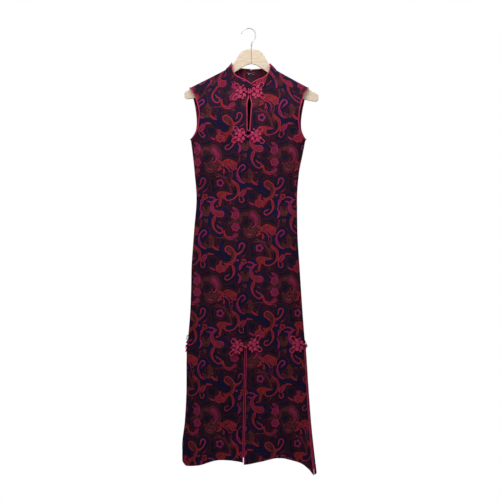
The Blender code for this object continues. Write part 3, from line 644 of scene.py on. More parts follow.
def mapped(tree, value, low, high, to_low=0.0, to_high=1.0):
    sockets = {"Value": value, "From Min": low, "From Max": high, "To Min": to_low, "To Max": to_high}
    return node(tree, "ShaderNodeMapRange", sockets).outputs["Result"]


def math_node(tree, operation, first, second):
    return node(tree, "ShaderNodeMath", {0: first, 1: second}, operation=operation).outputs["Value"]


def mixed(tree, kind, factor, first, second):
    """A Mix node for colours; kind is its blend, such as MIX or MULTIPLY."""
    sockets = {0: factor, 6: first, 7: second}
    return node(tree, "ShaderNodeMix", sockets, data_type="RGBA", blend_type=kind).outputs[2]


def noise(tree, where, scale, detail=2.0, rough=0.5, distortion=0.0):
    sockets = {"Vector": where, "Scale": scale, "Detail": detail, "Roughness": rough,
               "Distortion": distortion}
    return node(tree, "ShaderNodeTexNoise", sockets).outputs["Fac"]


def wave(tree, where, scale, way, distortion=0.0):
    """Fine even threads, banded one way."""
    sockets = {"Vector": where, "Scale": scale, "Distortion": distortion}
    return node(tree, "ShaderNodeTexWave", sockets, bands_direction=way).outputs["Fac"]


def stretched(tree, where, scale=(1.0, 1.0, 1.0), turn=(0.0, 0.0, 0.0)):
    sockets = {"Vector": where, "Scale": scale, "Rotation": turn}
    return node(tree, "ShaderNodeMapping", sockets).outputs["Vector"]


def shaded(tree, colour, value):
    return node(tree, "ShaderNodeHueSaturation", {"Color": colour, "Value": value}).outputs["Color"]


def flat_cloth(tree):
    return node(tree, "ShaderNodeUVMap", uv_map="flat").outputs["UV"]


def own_space(tree):
    return node(tree, "ShaderNodeTexCoord").outputs["Object"]


def finished(made, colour, rough, height, distance, strength):
    """Plugs in a material's colour, roughness and relief, and hands it back."""
    tree = made.node_tree
    sockets = {"Height": height, "Distance": distance, "Strength": strength}
    relief = node(tree, "ShaderNodeBump", sockets)
    plugs = {"Base Color": colour, "Roughness": rough, "Normal": relief.outputs["Normal"]}
    for name, value in plugs.items():
        plug(tree, tree.nodes["Principled BSDF"].inputs[name], value)
    return made


# Colour bands of the print by depth into each hue, in mm: an edge line, then echo lines inside it.
# The hues are painted over the ground in this order, with a soft edge as wide as EDGE_BLUR.
BAND_DEPTH = 12.0
EDGE_BLUR = (-0.15, 0.15)
BANDS = {
    "ground": ((0, "0c0812"), (1.0, "641a3c"), (1.7, "120c1a"), (4.4, "38121e"), (6.0, "541630"),
               (6.7, "100c1e"), (9.5, "0e1028")),
    "leaf": ((0, "1a0810"), (0.9, "78283e"), (1.6, "4a2222"), (4.0, "220c12"), (4.7, "582828"),
             (7.4, "240e14"), (8.1, "48221e")),
    "navy": ((0, "08060e"), (1.0, "141036"), (3.4, "261648"), (4.1, "100e2e"), (7.6, "0d0f22")),
    "crimson": ((0, "1e060e"), (0.9, "a02c40"), (1.7, "86222c"), (4.4, "3c0a14"), (5.2, "942830"),
                (8.6, "621a24")),
    "magenta": ((0, "200614"), (0.9, "96285a"), (1.9, "801e48"), (4.4, "3a0a26"), (5.2, "8c2050")),
}


def printed_colour(tree):
    """The print's colour from the depths kept on the cloth."""
    depths = {}
    for hue in HUES:
        kept = node(tree, "ShaderNodeAttribute", attribute_type="GEOMETRY",
                    attribute_name=f"print_{hue}")
        depths[hue] = kept.outputs["Fac"]
    deepest = depths[HUES[0]]
    for hue in HUES[1:]:
        deepest = math_node(tree, "MAXIMUM", deepest, depths[hue])
    depths["ground"] = math_node(tree, "MULTIPLY", deepest, -1.0)
    colour = None
    for name, bands in BANDS.items():
        stops = [(place / BAND_DEPTH, shade) for place, shade in bands]
        own = ramp(tree, mapped(tree, depths[name], 0.0, BAND_DEPTH), stops, "CONSTANT")
        if colour is not None:
            own = mixed(tree, "MIX", mapped(tree, depths[name], *EDGE_BLUR), colour, own)
        colour = own
    return colour


def cloth_material(name, inner):
    """Printed crepe: the dyed print, softly uneven, over a fine pebbled weave; inside, duller and
    redder like the wrong side, and darkened with painted shade.
    """
    made, tree = new_material(name, specular=0.12, sheen=0.03)
    flat = flat_cloth(tree)
    colour = printed_colour(tree)
    # Inside, the print is mixed with dark crimson: partly the cloth's duller, redder wrong side, partly
    # painted shade within the dress.
    if inner:
        colour = mixed(tree, "MIX", 0.55, colour, linear("4a101c"))
    cloudy = mapped(tree, noise(tree, flat, 9.0, 3.0), 0.3, 0.7, 0.84, 1.12)
    grain = mapped(tree, noise(tree, flat, 620.0, 2.0, 0.7), 0.25, 0.75, 0.80, 1.18)
    warp = wave(tree, flat, 260.0, "X", 1.2)
    weft = wave(tree, flat, 230.0, "Y", 1.2)
    colour = shaded(tree, colour, math_node(tree, "MULTIPLY", cloudy, grain))
    rough = mapped(tree, noise(tree, flat, 45.0, 3.0), 0.3, 0.7, 0.72, 0.88)
    weave = math_node(tree, "ADD", math_node(tree, "MAXIMUM", warp, weft), grain)
    return finished(made, colour, rough, weave, 0.00025, 0.35)


def satin_material(name, shade, dark):
    """Satin bias tube for cords and piping: fine slanting threads, darker in small pulls."""
    made, tree = new_material(name, specular=0.4, sheen=0.08)
    flat = flat_cloth(tree)
    thread = wave(tree, stretched(tree, flat, turn=(0.0, 0.0, 0.8)), 420.0, "X", 0.8)
    pulls = noise(tree, flat, 150.0, 3.0, 0.6)
    colour = ramp(tree, mapped(tree, pulls, 0.25, 0.75), ((0.0, dark), (1.0, shade)))
    colour = shaded(tree, colour, mapped(tree, thread, 0.0, 1.0, 0.86, 1.06))
    rough = mapped(tree, pulls, 0.3, 0.7, 0.36, 0.56)
    return finished(made, colour, rough, math_node(tree, "ADD", thread, pulls), 0.0002, 0.4)


def wood_material(name, tones, fleck_tone):
    """Light beech: long faint grain, short dark flecks and a satin lacquer."""
    made, tree = new_material(name, specular=0.4, coat=0.18)
    spot = own_space(tree)
    grain = noise(tree, stretched(tree, spot, (1.0, 6.0, 9.0), (0.0, 0.25, 0.0)), 26.0, 5.0, 0.6, 0.4)
    fleck = noise(tree, stretched(tree, spot, (1.0, 7.0, 7.0)), 240.0, 1.0)
    colour = ramp(tree, mapped(tree, grain, 0.3, 0.7), tuple(zip((0.0, 0.45, 1.0), tones)))
    colour = mixed(tree, "MULTIPLY", mapped(tree, fleck, 0.62, 0.72), colour, linear(fleck_tone))
    rough = mapped(tree, grain, 0.3, 0.7, 0.5, 0.38)
    return finished(made, colour, rough, math_node(tree, "SUBTRACT", grain, fleck), 0.0003, 0.3)


def steel_material(name, light, dark, low, high):
    """Plated steel: fine drawing lines, a dull cast and small rubbed patches."""
    made, tree = new_material(name, metallic=1.0)
    spot = own_space(tree)
    rubbed = noise(tree, spot, 140.0, 4.0, 0.6)
    lines = noise(tree, stretched(tree, spot, (8.0, 8.0, 1.0)), 300.0)
    colour = ramp(tree, mapped(tree, rubbed, 0.3, 0.7), ((0.0, dark), (1.0, light)))
    return finished(made, colour, mapped(tree, rubbed, 0.3, 0.7, high, low), lines, 0.00006, 0.3)


def tape_material():
    """Woven tape in dark plum, with fine ribs across it."""
    made, tree = new_material("tape", specular=0.2, sheen=0.05)
    flat = flat_cloth(tree)
    rib = wave(tree, flat, 330.0, "Y")
    fibre = mapped(tree, noise(tree, flat, 300.0), 0.3, 0.7)
    colour = ramp(tree, fibre, ((0.0, "1c0f1a"), (1.0, "34182c")))
    return finished(made, colour, mapped(tree, rib, 0.0, 1.0, 0.65, 0.8), rib, 0.0002, 0.5)


FINISH = {
    "cloth": cloth_material("printed_crepe", False),
    # The inside's finish holds painted shade as well as the wrong side's duller colour.
    "inner": cloth_material("printed_crepe_inside_painted_shade", True),
    "piping": satin_material("piping_satin", "cc2e64", "941c44"),
    "cord": satin_material("frog_cord", "d23068", "a01c4a"),
    "wood": wood_material("beech", ("cbb598", "d7c5ae", "e2d2bf"), "bb9b79"),
    "glue": wood_material("beech_glue_line", ("8f7150", "9c7c58", "ab8a64"), "7c6044"),
    "wire": steel_material("hook_wire", "dcdad6", "b0aeaa", 0.3, 0.46),
    "zip_metal": steel_material("zip_metal", "cfcdc8", "9a9894", 0.24, 0.4),
    "teeth": steel_material("zip_teeth", "8e8a86", "5e5a58", 0.34, 0.5),
    "tape": tape_material(),
}


def placed(name, data, place=(0.0, 0.0, 0.0)):
    """Puts an object in the scene."""
    made = bpy.data.objects.new(name, data)
    made.location = place
    bpy.context.scene.collection.objects.link(made)
    return made


def mesh_piece(name, points, faces, flat, finish, smooth=True):
    """A mesh from points in mm and faces, with a UV place for each point, riding on the dress."""
    mesh = bpy.data.meshes.new(name)
    mesh.from_pydata((np.asarray(points) * MM).tolist(), [], faces)
    corners = np.zeros(len(mesh.loops), np.int32)
    mesh.loops.foreach_get("vertex_index", corners)
    layer = mesh.uv_layers.new(name="flat")
    layer.data.foreach_set("uv", (np.asarray(flat)[corners] * MM).astype(np.float32).ravel())
    for kind in finish:
        mesh.materials.append(FINISH[kind])
    if smooth:
        mesh.shade_smooth()
    piece = placed(name, mesh)
    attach(piece, "dress")
    return piece


def grid_quads(rows, columns, flip):
    index = np.arange(rows * columns).reshape(rows, columns)
    quads = np.stack((index[:-1, :-1], index[1:, :-1], index[1:, 1:], index[:-1, 1:]), axis=-1)
    quads = quads.reshape(-1, 4)
    return (quads[:, ::-1] if flip else quads).tolist()


def walled(piece, thickness):
    """Gives a sheet its thickness, inward from its outer face."""
    wall = piece.modifiers.new("wall", "SOLIDIFY")
    wall.thickness = thickness
    wall.offset = -1.0
    return wall


def tape_strip(name, points, across, down, thick):
    """A strip of woven tape on a grid of points, which lie across and down it, all in mm."""
    flat = np.stack(np.broadcast_arrays(across, down), axis=-1).reshape(-1, 2)
    faces = grid_quads(*points.shape[:2], False)
    piece = mesh_piece(name, points.reshape(-1, 3), faces, flat, ("tape",))
    walled(piece, thick * MM)
    return piece


def laid_strip(name, angles, drops, columns, deep, thick):
    """Tape laid down a line of the dress, with its columns mm to each side, off its face by deep."""
    around = shifted(angles[:, None], drops[:, None], columns[None, :])
    points = dress_points(around, drops[:, None], deep)
    return tape_strip(name, points, columns[None, :], drops[:, None], thick)


TILE = print_tile()
SHEETS = {}


def cloth_piece(name, points, across, down, flip):
    """One cut of cloth as a thin shell: its print kept on its points, its outer face outside."""
    rows, columns = points.shape[:2]
    flat = np.stack((across, down), axis=-1).reshape(-1, 2)
    piece = mesh_piece(name, points.reshape(-1, 3), grid_quads(rows, columns, flip), flat,
                       ("cloth", "inner"))
    for hue, depth in zip(HUES, print_at(TILE, flat[:, 0], flat[:, 1])):
        kept = piece.data.attributes.new(f"print_{hue}", "FLOAT", "POINT")
        kept.data.foreach_set("value", depth.astype(np.float32))
    wall = walled(piece, SHELL)
    wall.material_offset = 1
    wall.material_offset_rim = 0
    return piece


BACK_PRINT_SHIFT = 97.0
HEM_TURNED = 32.0
HEM_DIP = 0.7
HEM_SOFT = 3.0
HEM_MARGIN = 2.0


def make_panel(side, front):
    """Half of the front, or one back panel, creased."""
    name = panel_name(side, front)
    angle, drop = panel_angles(side, front)
    base = dress_points(angle, drop)
    inner_x = front_line(drop[:, -1]) if front else np.full(len(drop), ZIP_X)
    across, along = flat_places(base, side, inner_x)
    from_top = drop - drop[0]
    to_hem = drop[-1] - drop
    from_side = along[:, :1] - along
    edge = np.minimum(np.minimum(along, from_side), np.minimum(from_top, to_hem + HEM_MARGIN))
    off = creased(name, across, drop, edge)
    off -= HEM_DIP * np.exp(-((to_hem - HEM_TURNED) / HEM_SOFT) ** 2)
    points = base + outward(base, front) * off[..., None]
    shift = 0.0 if front else BACK_PRINT_SHIFT
    flip = (side > 0) == front
    SHEETS[name] = (angle, drop, base)
    return cloth_piece(f"cloth_{name}", points, across + shift, drop, flip)


for front in (True, False):
    for side in (-1, 1):
        made = make_panel(side, front)


def neck_points(turn):
    """The neck seam in mm at angles round the neck: 0 at the front line, 180 at the back."""
    x = NECK_MIDDLE + NECK_HALF * np.sin(np.radians(turn))
    within = np.clip(x, NECK_X[0] + 0.01, NECK_X[1] - 0.01)
    front = np.abs(turn) <= 90
    drop = top_drop(within, np.where(front, NECK_FRONT_DROP, NECK_BACK_DROP))
    angle = angle_at(x, drop)
    return dress_points(np.where(front, angle, 180.0 - angle), drop)


LEAN_SHARES = (0.3, 0.9)
LEAN_FRONT = 0.3
SIDES_LOWER = 0.3
SIDES_LIFT = 1.4


def collar_points(turn, height, out=0.0):
    """Points on the collar's outer face: it stands on the neck seam and leans in."""
    turn, height = np.broadcast_arrays(np.asarray(turn, float), np.asarray(height, float))
    base = neck_points(turn)
    bent = np.radians(turn)
    short = 1 - COLLAR_END * np.exp(-((turn / COLLAR_CURVE) ** 2))
    sides = np.abs(np.sin(bent)) ** 3
    lean = COLLAR_LEAN * (LEAN_SHARES[0] + LEAN_SHARES[1] * sides) * height
    tall = COLLAR_HEIGHT * short * height * (1 - SIDES_LOWER * sides)
    x = base[..., 0] - np.sin(bent) * (lean - out)
    y = base[..., 1] + np.cos(bent) * (lean * LEAN_FRONT - out)
    lift = COLLAR_LIFT * (1 + SIDES_LIFT * sides ** 3)
    return np.stack((x, y, base[..., 2] + lift + tall), axis=-1)


COLLAR_COLUMNS = 110
COLLAR_ROWS = 14
COLLAR_TUCK = (-0.1, -0.9)
BUCKLE = 0.5
BUCKLE_WAVE = 17.0
COLLAR_PRINT = 170.0
GUARD_TURNS = 4.5
GUARD_HEIGHTS = (0.97, -0.25)
GUARD_IN = -1.0
TAPE_THICK = 0.4


def collar_turns(side, count):
    """Angles round one half of the neck, clear of the front line and of the zip."""
    return side * np.linspace(COLLAR_GAP[0], 180.0 - COLLAR_GAP[1], count + 1)


def make_collar(side):
    """Half the stand collar, softly buckled at the side of the neck."""
    name = "collar_left" if side < 0 else "collar_right"
    turns = collar_turns(side, COLLAR_COLUMNS)
    height = np.append(np.linspace(1, 0, COLLAR_ROWS + 1), COLLAR_TUCK[0])
    sunk = np.zeros(len(height))
    sunk[-1] = COLLAR_TUCK[1]
    points = collar_points(turns[None, :], height[:, None], sunk[:, None])
    along = run_along(points[0])
    across = side * along[None, :]
    across, down = np.broadcast_arrays(across, (COLLAR_PRINT - COLLAR_HEIGHT * height)[:, None])
    buckle = BUCKLE * np.sin(along / BUCKLE_WAVE + side) * np.sin(math.pi * height)[:, None]
    way = unit((points - (NECK_MIDDLE, 0, 0)) * (1, 1, 0))
    piece = cloth_piece(f"cloth_{name}", points + way * buckle[..., None], across, down, side < 0)
    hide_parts(name)
    return piece


def make_guard():
    """The strip of tape behind the collar's back opening, between the hook and the eye."""
    turns = 180.0 + np.linspace(-GUARD_TURNS, GUARD_TURNS, 7)[None, :]
    height = np.linspace(*GUARD_HEIGHTS, 15)[:, None]
    points = collar_points(turns, height, GUARD_IN)
    tape_strip("woven_collar_guard", points, turns, -COLLAR_HEIGHT * height, TAPE_THICK)


# The glue line between the hanger's arms: depth and drop of its corners, in mm.
GLUE = ((-3.6, 68.2), (3.6, 68.2), (5.4, 70.0), (5.4, 114.6), (3.6, 116.4), (-3.6, 116.4),
        (-5.4, 114.6), (-5.4, 70.0))
GLUE_HALF = 0.7


def make_glue():
    """A thin dark slab that shows as a line between the hanger's two arms."""
    corners = np.array(GLUE)
    points = []
    for x in (HANGER_X - GLUE_HALF, HANGER_X + GLUE_HALF):
        points += [(x, HANGER_BACK + depth, -drop) for depth, drop in corners]
    count = len(corners)
    faces = [tuple(range(count)), tuple(range(2 * count - 1, count - 1, -1))]
    faces += [(i, i + count, (i + 1) % count + count, (i + 1) % count) for i in range(count)]
    mesh_piece("hanger_glue_line", points, faces, np.tile(corners, (2, 1)), ("glue",),
               smooth=False)


TIP_DOME = 0.7


def path_frames(line, closed):
    """Unit vectors along and across a line at each of its points, with no twist between them."""
    ahead = np.roll(line, -1, axis=0) - np.roll(line, 1, axis=0)
    if not closed:
        ahead[0] = line[1] - line[0]
        ahead[-1] = line[-1] - line[-2]
    ahead = unit(ahead)
    across = [unit(np.cross(ahead[0], (0.3, 1.0, 0.2)))]
    for way in ahead[1:]:
        across.append(unit(across[-1] - way * (across[-1] @ way)))
    across = np.array(across)
    return ahead, across, np.cross(ahead, across)


def resampled(line, step, closed):
    """The same line in even steps."""
    run = np.vstack([line, line[:1]]) if closed else line
    along = run_along(run)
    count = max(4, int(round(along[-1] / step)))
    places = np.linspace(0, along[-1], count + 1)
    if closed:
        places = places[:-1]
    return np.stack([np.interp(places, along, run[:, k]) for k in range(3)], axis=1)


def softened(line, closed, times):
    """The line with its corners rounded off, its ends kept."""
    for _ in range(times):
        before = np.roll(line, 1, axis=0)
        after = np.roll(line, -1, axis=0)
        smooth = (before + 2 * line + after) / 4
        if not closed:
            smooth[0] = line[0]
            smooth[-1] = line[-1]
        line = smooth
    return line


def tube_parts(line, radius, sides, closed, start):
    """Points, faces and flat places of a round tube along a line, with domed ends if it is open."""
    ahead, across, other = path_frames(line, closed)
    count = len(line)
    radius = np.broadcast_to(np.asarray(radius, float), (count,))
    turn = 2 * math.pi * np.arange(sides) / sides
    spokes = np.cos(turn)[:, None] * across[:, None] + np.sin(turn)[:, None] * other[:, None]
    points = (line[:, None] + spokes * radius[:, None, None]).reshape(-1, 3)
    flat = np.stack(np.broadcast_arrays(run_along(line)[:, None], turn * radius.mean()), axis=-1)
    flat = flat.reshape(-1, 2)
    rings = start + np.arange(count * sides).reshape(count, sides)
    if closed:
        rings = np.vstack([rings, rings[:1]])
    beside = np.roll(rings, -1, axis=1)
    faces = np.stack((rings[:-1], beside[:-1], beside[1:], rings[1:]), axis=-1).reshape(-1, 4).tolist()
    if not closed:
        tips = (line[0] - ahead[0] * radius[0] * TIP_DOME, line[-1] + ahead[-1] * radius[-1] * TIP_DOME)
        points = np.vstack([points, *tips])
        flat = np.vstack([flat, flat[0], flat[-1]])
        tip = start + count * sides
        for a, b, c, d in np.stack((rings[0], beside[0], rings[-1], beside[-1]), axis=1).tolist():
            faces += [(tip, b, a), (tip + 1, c, d)]
    return points, faces, flat


def tubes_piece(name, tubes, finish, stands_for):
    """Several tubes in one piece; each is (line, radius, sides, closed)."""
    points, faces, flat = [], [], []
    total = 0
    for line, radius, sides, closed in tubes:
        own = tube_parts(line, radius, sides, closed, total)
        points.append(own[0])
        faces += own[1]
        flat.append(own[2])
        total += len(own[0])
    piece = mesh_piece(name, np.vstack(points), faces, np.vstack(flat), (finish,))
    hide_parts(stands_for)


def beyond(edge, inner, gap):
    return edge + unit(edge - inner) * gap


HUG = -0.7
EDGE_INSET = 6


def edge_line(name, column, low, high, radius):
    """Where piping lies past a panel's edge, level with the middle of the frame's wall."""
    angle, drop, _ = SHEETS[name]
    chosen = (drop[:, column] > low) & (drop[:, column] <= high)
    edge, within = (dress_points(angle[chosen, k], drop[chosen, k], -CLOTH / 2)
                    for k in (column, column + (EDGE_INSET if column == 0 else -EDGE_INSET)))
    return beyond(edge, within, radius + HUG)


PIPE_SIDES = 10
PIPE_STEP = 3.2
ARM_TOP = 0.7
ARM_TURN = (5.0, -3.5)
PAST_HEM = 2000
KEYHOLE_END = 2


def piping_piece(stands_for, line, radius, closed=False):
    """Satin piping: a round cord that hugs the edge it binds."""
    line = softened(resampled(line, PIPE_STEP, closed), closed, 3)
    tubes = [(line, radius, PIPE_SIDES, closed)]
    tubes_piece(f"satin_{stands_for}", tubes, "piping", stands_for)


def make_all_piping():
    """Piping round the armholes, on the collar, and down the slits and the keyhole."""
    keyhole = []
    for side, label in ((-1, "left"), (1, "right")):
        front = f"front_{label}"
        drop, base = SHEETS[front][1:]
        ends = (drop[0, 0] + ARM_TOP, UNDERARM - 1, PIPING_R)
        down, up = (edge_line(name, 0, *ends) for name in (front, f"back_{label}"))
        top = base[0, 0] + np.array((side * (PIPING_R + 2 * CLEAR), 0, 0))
        low = (down[-1] + up[-1]) / 2 + np.array((side * ARM_TURN[0], 0, ARM_TURN[1]))
        piping_piece(f"piping_armhole_{label}", np.vstack([top, down, low, up[::-1]]), PIPING_R, True)
        turns = collar_turns(side, 90)
        edge, under = (collar_points(turns, height, -CLOTH / 2) for height in (1.0, 0.9))
        piping_piece(f"piping_collar_{label}", beyond(edge, under, PIPING_R + HUG), PIPING_R)
        line = edge_line(front, FRONT_COLUMNS, FRONT_SLIT_TOP, PAST_HEM, SLIT_R)
        piping_piece(f"piping_slit_front_{label}", line, SLIT_R)
        for part in ("front", "back"):
            line = edge_line(f"{part}_{label}", 0, SIDE_SLIT_TOP, PAST_HEM, PIPING_R)
            piping_piece(f"piping_slit_{label}_{part}", line, PIPING_R)
        keyhole.append(edge_line(front, FRONT_COLUMNS, 0, KEYHOLE[1] - KEYHOLE_END, PIPING_R))
    piping_piece("piping_keyhole", np.vstack([keyhole[0], keyhole[1][::-1]]), PIPING_R)


# Butterfly frogs: the button's place as an x or a seam (1 right, -1 left), and the wings' tilt.
FROGS = (
    {"name": "frog_collar", "x": -1.5, "drop": 217.5, "tilt": 3, "seat": 1.6},
    {"name": "frog_keyhole", "x": -5.0, "drop": 364.5, "tilt": -1, "seat": 0.4},
    {"name": "frog_slit_front", "x": -12.5, "drop": 1067.0, "tilt": 8, "seat": 0.4},
    {"name": "frog_slit_right", "seam": 1, "drop": 1064.0, "tilt": 0, "seat": 0.2, "round": 0.8},
    {"name": "frog_slit_left", "seam": -1, "drop": 1062.0, "tilt": 0, "seat": 0.2, "round": 2.0},
)
# One wing in mm from the button; columns: p across, q up and the radius r. It has two open corner
# loops and coils that are packed round its heart.
CORNERS = ((41.5, 25.5, 7.6), (47.0, -14.5, 7.4))
COILS = (
    (27, 3.5, 8.2), (39.0, 10.5, 6.4), (29.5, 18.0, 7.6), (15.5, 13.0, 7.6), (15, -6.5, 7.6),
    (31.5, -11.5, 7.6), (40.5, -3.5, 6.0), (21.0, -17.0, 5.6), (9.0, 3.5, 5.2), (19.5, 24.0, 4.4),
)
HEART = (27.0, 3.5)
LOOP_ARC = (42, 318)
LOOP_SHORT = 7.0
LOOP_FOOT = 1.9
LOOP_CORD = 1.35
LOOP_SUNK = -0.3
LOOP_STEP = 1.2
COIL_CORD = 1.6
COIL_PITCH = 2.75
COIL_DOME = 1.3
COIL_EYE = 0.7
COIL_POINTS = 7
COIL_START = 1.7
COIL_STAGGER = 0.3
CORD_CLEAR = 0.1
SEAM_CLEAR = 0.4
COLLAR_STEP = (-4.0, 9.0)
WALK_STEPS = 8
BUTTON_R = 5.0


def frog_angle(frog, drop):
    """Where the middle of a frog lies round the dress: on a side seam, or at its x."""
    if "seam" in frog:
        return side_angles(frog["drop"])[0 if frog["seam"] < 0 else 1]
    return angle_at(frog["x"], drop)


def frog_line(frog, flat_line, lift):
    """A line drawn flat from the button, p across and q up in mm, laid on the dress."""
    p, q = flat_line.T
    drop = frog["drop"] - q
    angle = frog_angle(frog, drop) + np.zeros(p.shape)
    for _ in range(WALK_STEPS):
        angle = shifted(angle, drop, p / WALK_STEPS)
    raised = COIL_CORD + CORD_CLEAR + lift
    if "seam" in frog:
        raised = raised + SEAM_CLEAR + frog["round"] * np.abs(np.sin(np.radians(angle))) ** 8
    edge = neckline(x_at(angle, drop), NECK_FRONT_DROP)
    raised = raised + COLLAR_RISE * (1 - ease(edge + COLLAR_STEP[0], edge + COLLAR_STEP[1], drop))
    return dress_points(angle, drop, raised)


def leaned(side, tilt, p, q):
    """Flat places of one wing, mirrored for its side and tilted with the frog."""
    return np.stack((side * p, q + side * p * math.tan(math.radians(tilt))), axis=1)


def corner_line(p, q, r):
    """An open loop at a wing's corner, its two ends tucked in short of the heart."""
    toward = math.atan2(HEART[1] - q, HEART[0] - p)
    way = np.array((math.cos(toward), math.sin(toward)))
    foot = (p, q) + way * (math.hypot(HEART[0] - p, HEART[1] - q) - LOOP_SHORT)
    aside = LOOP_FOOT * np.array((way[1], -way[0]))
    turn = toward + np.radians(np.linspace(*LOOP_ARC, 34))
    loop = np.stack((p + r * np.cos(turn), q + r * np.sin(turn)), axis=1)
    return np.vstack([foot - aside, loop, foot + aside]).T


def make_frog(frog):
    """Both wings of one frog and its button."""
    for side, label in ((-1, "left"), (1, "right")):
        tubes = []
        for p, q, r in CORNERS:
            flat_line = leaned(side, frog["tilt"], *corner_line(p, q, r))
            line = resampled(frog_line(frog, flat_line, LOOP_SUNK), LOOP_STEP, False)
            line = softened(line, False, 4)
            tubes.append((line, LOOP_CORD, 10, False))
        for k, (p, q, r) in enumerate(COILS):
            reach = np.linspace(r - COIL_CORD, COIL_EYE, round(COIL_POINTS * (r - COIL_CORD)))
            turn = 2 * math.pi * reach / COIL_PITCH + COIL_START * k
            flat_line = leaned(side, frog["tilt"], p + reach * np.cos(turn), q + reach * np.sin(turn))
            height = COIL_STAGGER * (k % 3) + COIL_DOME * (1 - (reach / r) ** 2)
            tubes.append((frog_line(frog, flat_line, height), COIL_CORD, 8, False))
        cord_piece(f"knotted_{frog['name']}_{label}", tubes, f"{frog['name']}_{label}")
    make_button(frog)


def cord_piece(name, tubes, stands_for):
    tubes_piece(name, tubes, "cord", stands_for)


KNOT_RINGS = 5
KNOT_CORD = 1.25
CORE_HALF = 3.2


def make_button(frog):
    """A ball knot: cords crossing over a round core."""
    place = dress_points(frog_angle(frog, frog["drop"]), frog["drop"], BUTTON_R + frog["seat"])
    heights = np.linspace(-CORE_HALF, CORE_HALF, 9)
    core_r = np.sqrt(np.maximum(1.0, (BUTTON_R - 1.0) ** 2 - heights ** 2))
    tubes = [(place + heights[:, None] * (0, 0, 1), core_r, 12, False)]
    turn = np.linspace(0, 2 * math.pi, 29)[:-1, None]
    for k in range(KNOT_RINGS):
        lean = math.pi * k / KNOT_RINGS
        axis = unit(np.array((math.cos(lean), 0.55 * math.sin(3 * lean), math.sin(lean))))
        one = unit(np.cross(axis, (0.1, 1.0, 0.2)))
        reach = BUTTON_R - 1.3 + 0.35 * np.sin(4 * turn + k)
        line = place + reach * (np.cos(turn) * one + np.sin(turn) * np.cross(axis, one))
        tubes.append((line, KNOT_CORD, 8, True))
    cord_piece(f"knot_{frog['name']}", tubes, f"{frog['name']}_button")


# The zip's tape, and its teeth by across, down and out.
ZIP_COLUMNS = np.array((-11.0, -9.6, -6.0, -2.2, 0.0, 2.2, 6.0, 9.6, 11.0))
ZIP_TAPE_OUT = -2.1
ZIP_TAPE_THICK = 0.8
ZIP_START = 3.0
TOOTH_PITCH = 2.5
TOOTH = (2.6, 1.3, 1.5)
TOOTH_ASIDE = 0.75
TOOTH_SUNK = 0.6
TOOTH_EDGE = 0.25


def make_zip():
    """Tape and interlocking teeth down the centre back; the frame's slider and pull stay."""
    start = float(neckline(np.array(ZIP_X), NECK_BACK_DROP)) + ZIP_START
    drops = np.arange(start, ZIP_BOTTOM, TOOTH_PITCH / 2)
    middle = angle_at(ZIP_X, drops, False)
    tape = laid_strip("woven_zip_tape", middle, drops, ZIP_COLUMNS, ZIP_TAPE_OUT, ZIP_TAPE_THICK)
    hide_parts("zip_tape")
    seats = dress_points(middle, drops)
    down = unit(np.diff(seats, axis=0))
    out = unit(np.cross(down, (1.0, 0.0, 0.0)))
    out *= np.where(out[:, 1:2] > 0, 1, -1)
    across = np.cross(out, down)
    count = len(down)
    side = np.where(np.arange(count) % 2, -1, 1)[:, None]
    centres = seats[:-1] + across * side * TOOTH_ASIDE - out * TOOTH_SUNK
    corners = np.array([(a, b, c) for a in (-1, 1) for b in (-1, 1) for c in (-1, 1)]) / 2 * TOOTH
    box = ((0, 1, 3, 2), (4, 6, 7, 5), (0, 4, 5, 1), (2, 3, 7, 6), (0, 2, 6, 4), (1, 5, 7, 3))
    teeth = (centres[:, None] + corners @ np.stack((across, down, out), axis=1)).reshape(-1, 3)
    faces = (8 * np.arange(count)[:, None, None] + np.array(box)).reshape(-1, 4).tolist()
    chain = mesh_piece("zip_teeth", teeth, faces, np.zeros((8 * count, 2)), ("teeth",),
                       smooth=False)
    edge = chain.modifiers.new("edge", "BEVEL")
    edge.width = TOOTH_EDGE * MM
    edge.segments = 2
    edge.limit_method = "NONE"
    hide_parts("zip_chain")


SEAM_IN = -0.85
BACK_SEAM_END = 1440.0
SEAM_COLUMNS = np.linspace(-7.0, 7.0, 5)
SEAM_STEP = 7.0
SIDE_SEAM_START = 2.0
BACK_SEAM_LAP = 6.0


def make_seam(label, angles, drops):
    """A strip of tape behind a closed seam, as wide as its pressed allowances."""
    laid_strip(f"woven_seam_{label}", angles, drops, SEAM_COLUMNS, SEAM_IN, TAPE_THICK)


def make_all_seams():
    drops = np.arange(UNDERARM + SIDE_SEAM_START, SIDE_SLIT_TOP, SEAM_STEP)
    for label, angles in zip(("left", "right"), side_angles(drops)):
        make_seam(label, angles, drops)
    drops = np.arange(ZIP_BOTTOM - BACK_SEAM_LAP, BACK_SEAM_END, SEAM_STEP)
    make_seam("back", angle_at(ZIP_X, drops, False), drops)


def dress_frame_nodes():
    """The frame's own hard pieces stay in view in the scene's finishes."""
    kept = {"wood": ("hanger_left", "hanger_right"), "wire": ("hanger_hook",),
            "zip_metal": ("zip_slider", "zip_pull", "collar_hook", "collar_eye")}
    for kind, names in kept.items():
        for name in names:
            NODES[name].data.materials.clear()
            NODES[name].data.materials.append(FINISH[kind])


for side in (-1, 1):
    made = make_collar(side)
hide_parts("front")
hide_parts("front")
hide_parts("back_left")
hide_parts("back_right")
make_guard()
make_glue()
make_all_piping()
for frog in FROGS:
    make_frog(frog)
make_zip()
make_all_seams()
dress_frame_nodes()


LENS = 137.2
CAMERA_PLACE = (0.0017, -6.4, -0.7426)
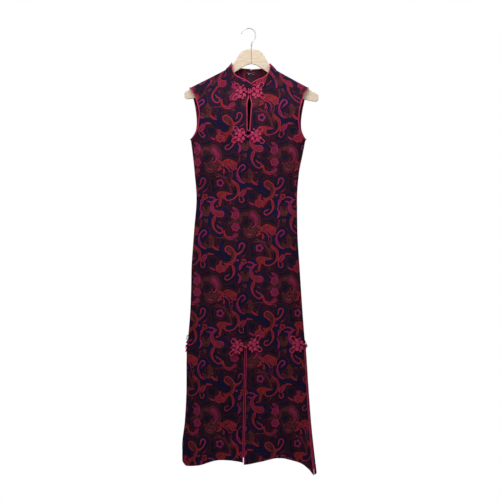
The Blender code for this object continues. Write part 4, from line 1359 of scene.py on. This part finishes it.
# Square lamps; columns: name, place, aim, size and watts.
LAMPS = (
    ("key", (-0.45, -1.0, 0.65), (0, 0, -0.1), 0.9, 20),
    ("fill", (0.8, -1.0, 0.5), (0, 0, -0.15), 0.9, 9.5),
    ("rim", (0.3, 1.5, 0.6), (0, 0, -0.6), 1.0, 16),
)
WORLD_WHITE = 1.0
WORLD_FILL = 0.15
FLOOR_PALE = 0.5
FLOOR_HALF = 2.6
FLOOR_Z = -1.95


def make_camera():
    lens = bpy.data.cameras.new("camera")
    lens.sensor_width = 36.0
    lens.lens = LENS
    lens.clip_start = 0.05
    lens.clip_end = 50.0
    camera = placed("camera", lens, CAMERA_PLACE)
    camera.rotation_euler = (math.pi / 2, 0.0, 0.0)
    bpy.context.scene.camera = camera


def make_lamp(name, place, aim, size, power):
    lamp = bpy.data.lights.new(name, "AREA")
    lamp.size = size
    lamp.energy = power
    way = Vector(aim) - Vector(place)
    placed(name, lamp, place).rotation_euler = way.to_track_quat("-Z", "Y").to_euler()


def glow(tree, lit, shown):
    """A strength of light: shown to the camera, and lit for all else."""
    seen = node(tree, "ShaderNodeLightPath").outputs["Is Camera Ray"]
    return mapped(tree, seen, 0.0, 1.0, lit, shown)


def make_world():
    """White as far as it shows, and a dimmer even light on the dress."""
    world = bpy.data.worlds.new("studio")
    bpy.context.scene.world = world
    world.use_nodes = True
    tree = world.node_tree
    backdrop = tree.nodes["Background"].inputs
    backdrop["Color"].default_value = (1.0, 1.0, 1.0, 1.0)
    tree.links.new(glow(tree, WORLD_FILL, WORLD_WHITE), backdrop["Strength"])


def make_studio():
    """World, lamps and a pale floor well below the hem."""
    make_world()
    mesh = bpy.data.meshes.new("floor")
    made = bmesh.new()
    bmesh.ops.create_grid(made, x_segments=1, y_segments=1, size=FLOOR_HALF)
    made.to_mesh(mesh)
    made.free()
    floor = placed("floor", mesh, (0.0, 0.0, FLOOR_Z))
    pale, tree = new_material("floor")
    sockets = tree.nodes["Principled BSDF"].inputs
    sockets["Base Color"].default_value = (0.9, 0.9, 0.9, 1.0)
    sockets["Emission Color"].default_value = (1.0, 1.0, 1.0, 1.0)
    tree.links.new(glow(tree, 0.0, FLOOR_PALE), sockets["Emission Strength"])
    mesh.materials.append(pale)
    for lamp in LAMPS:
        make_lamp(*lamp)


make_camera()
make_studio()
bpy.context.scene.view_settings.view_transform = "Standard"
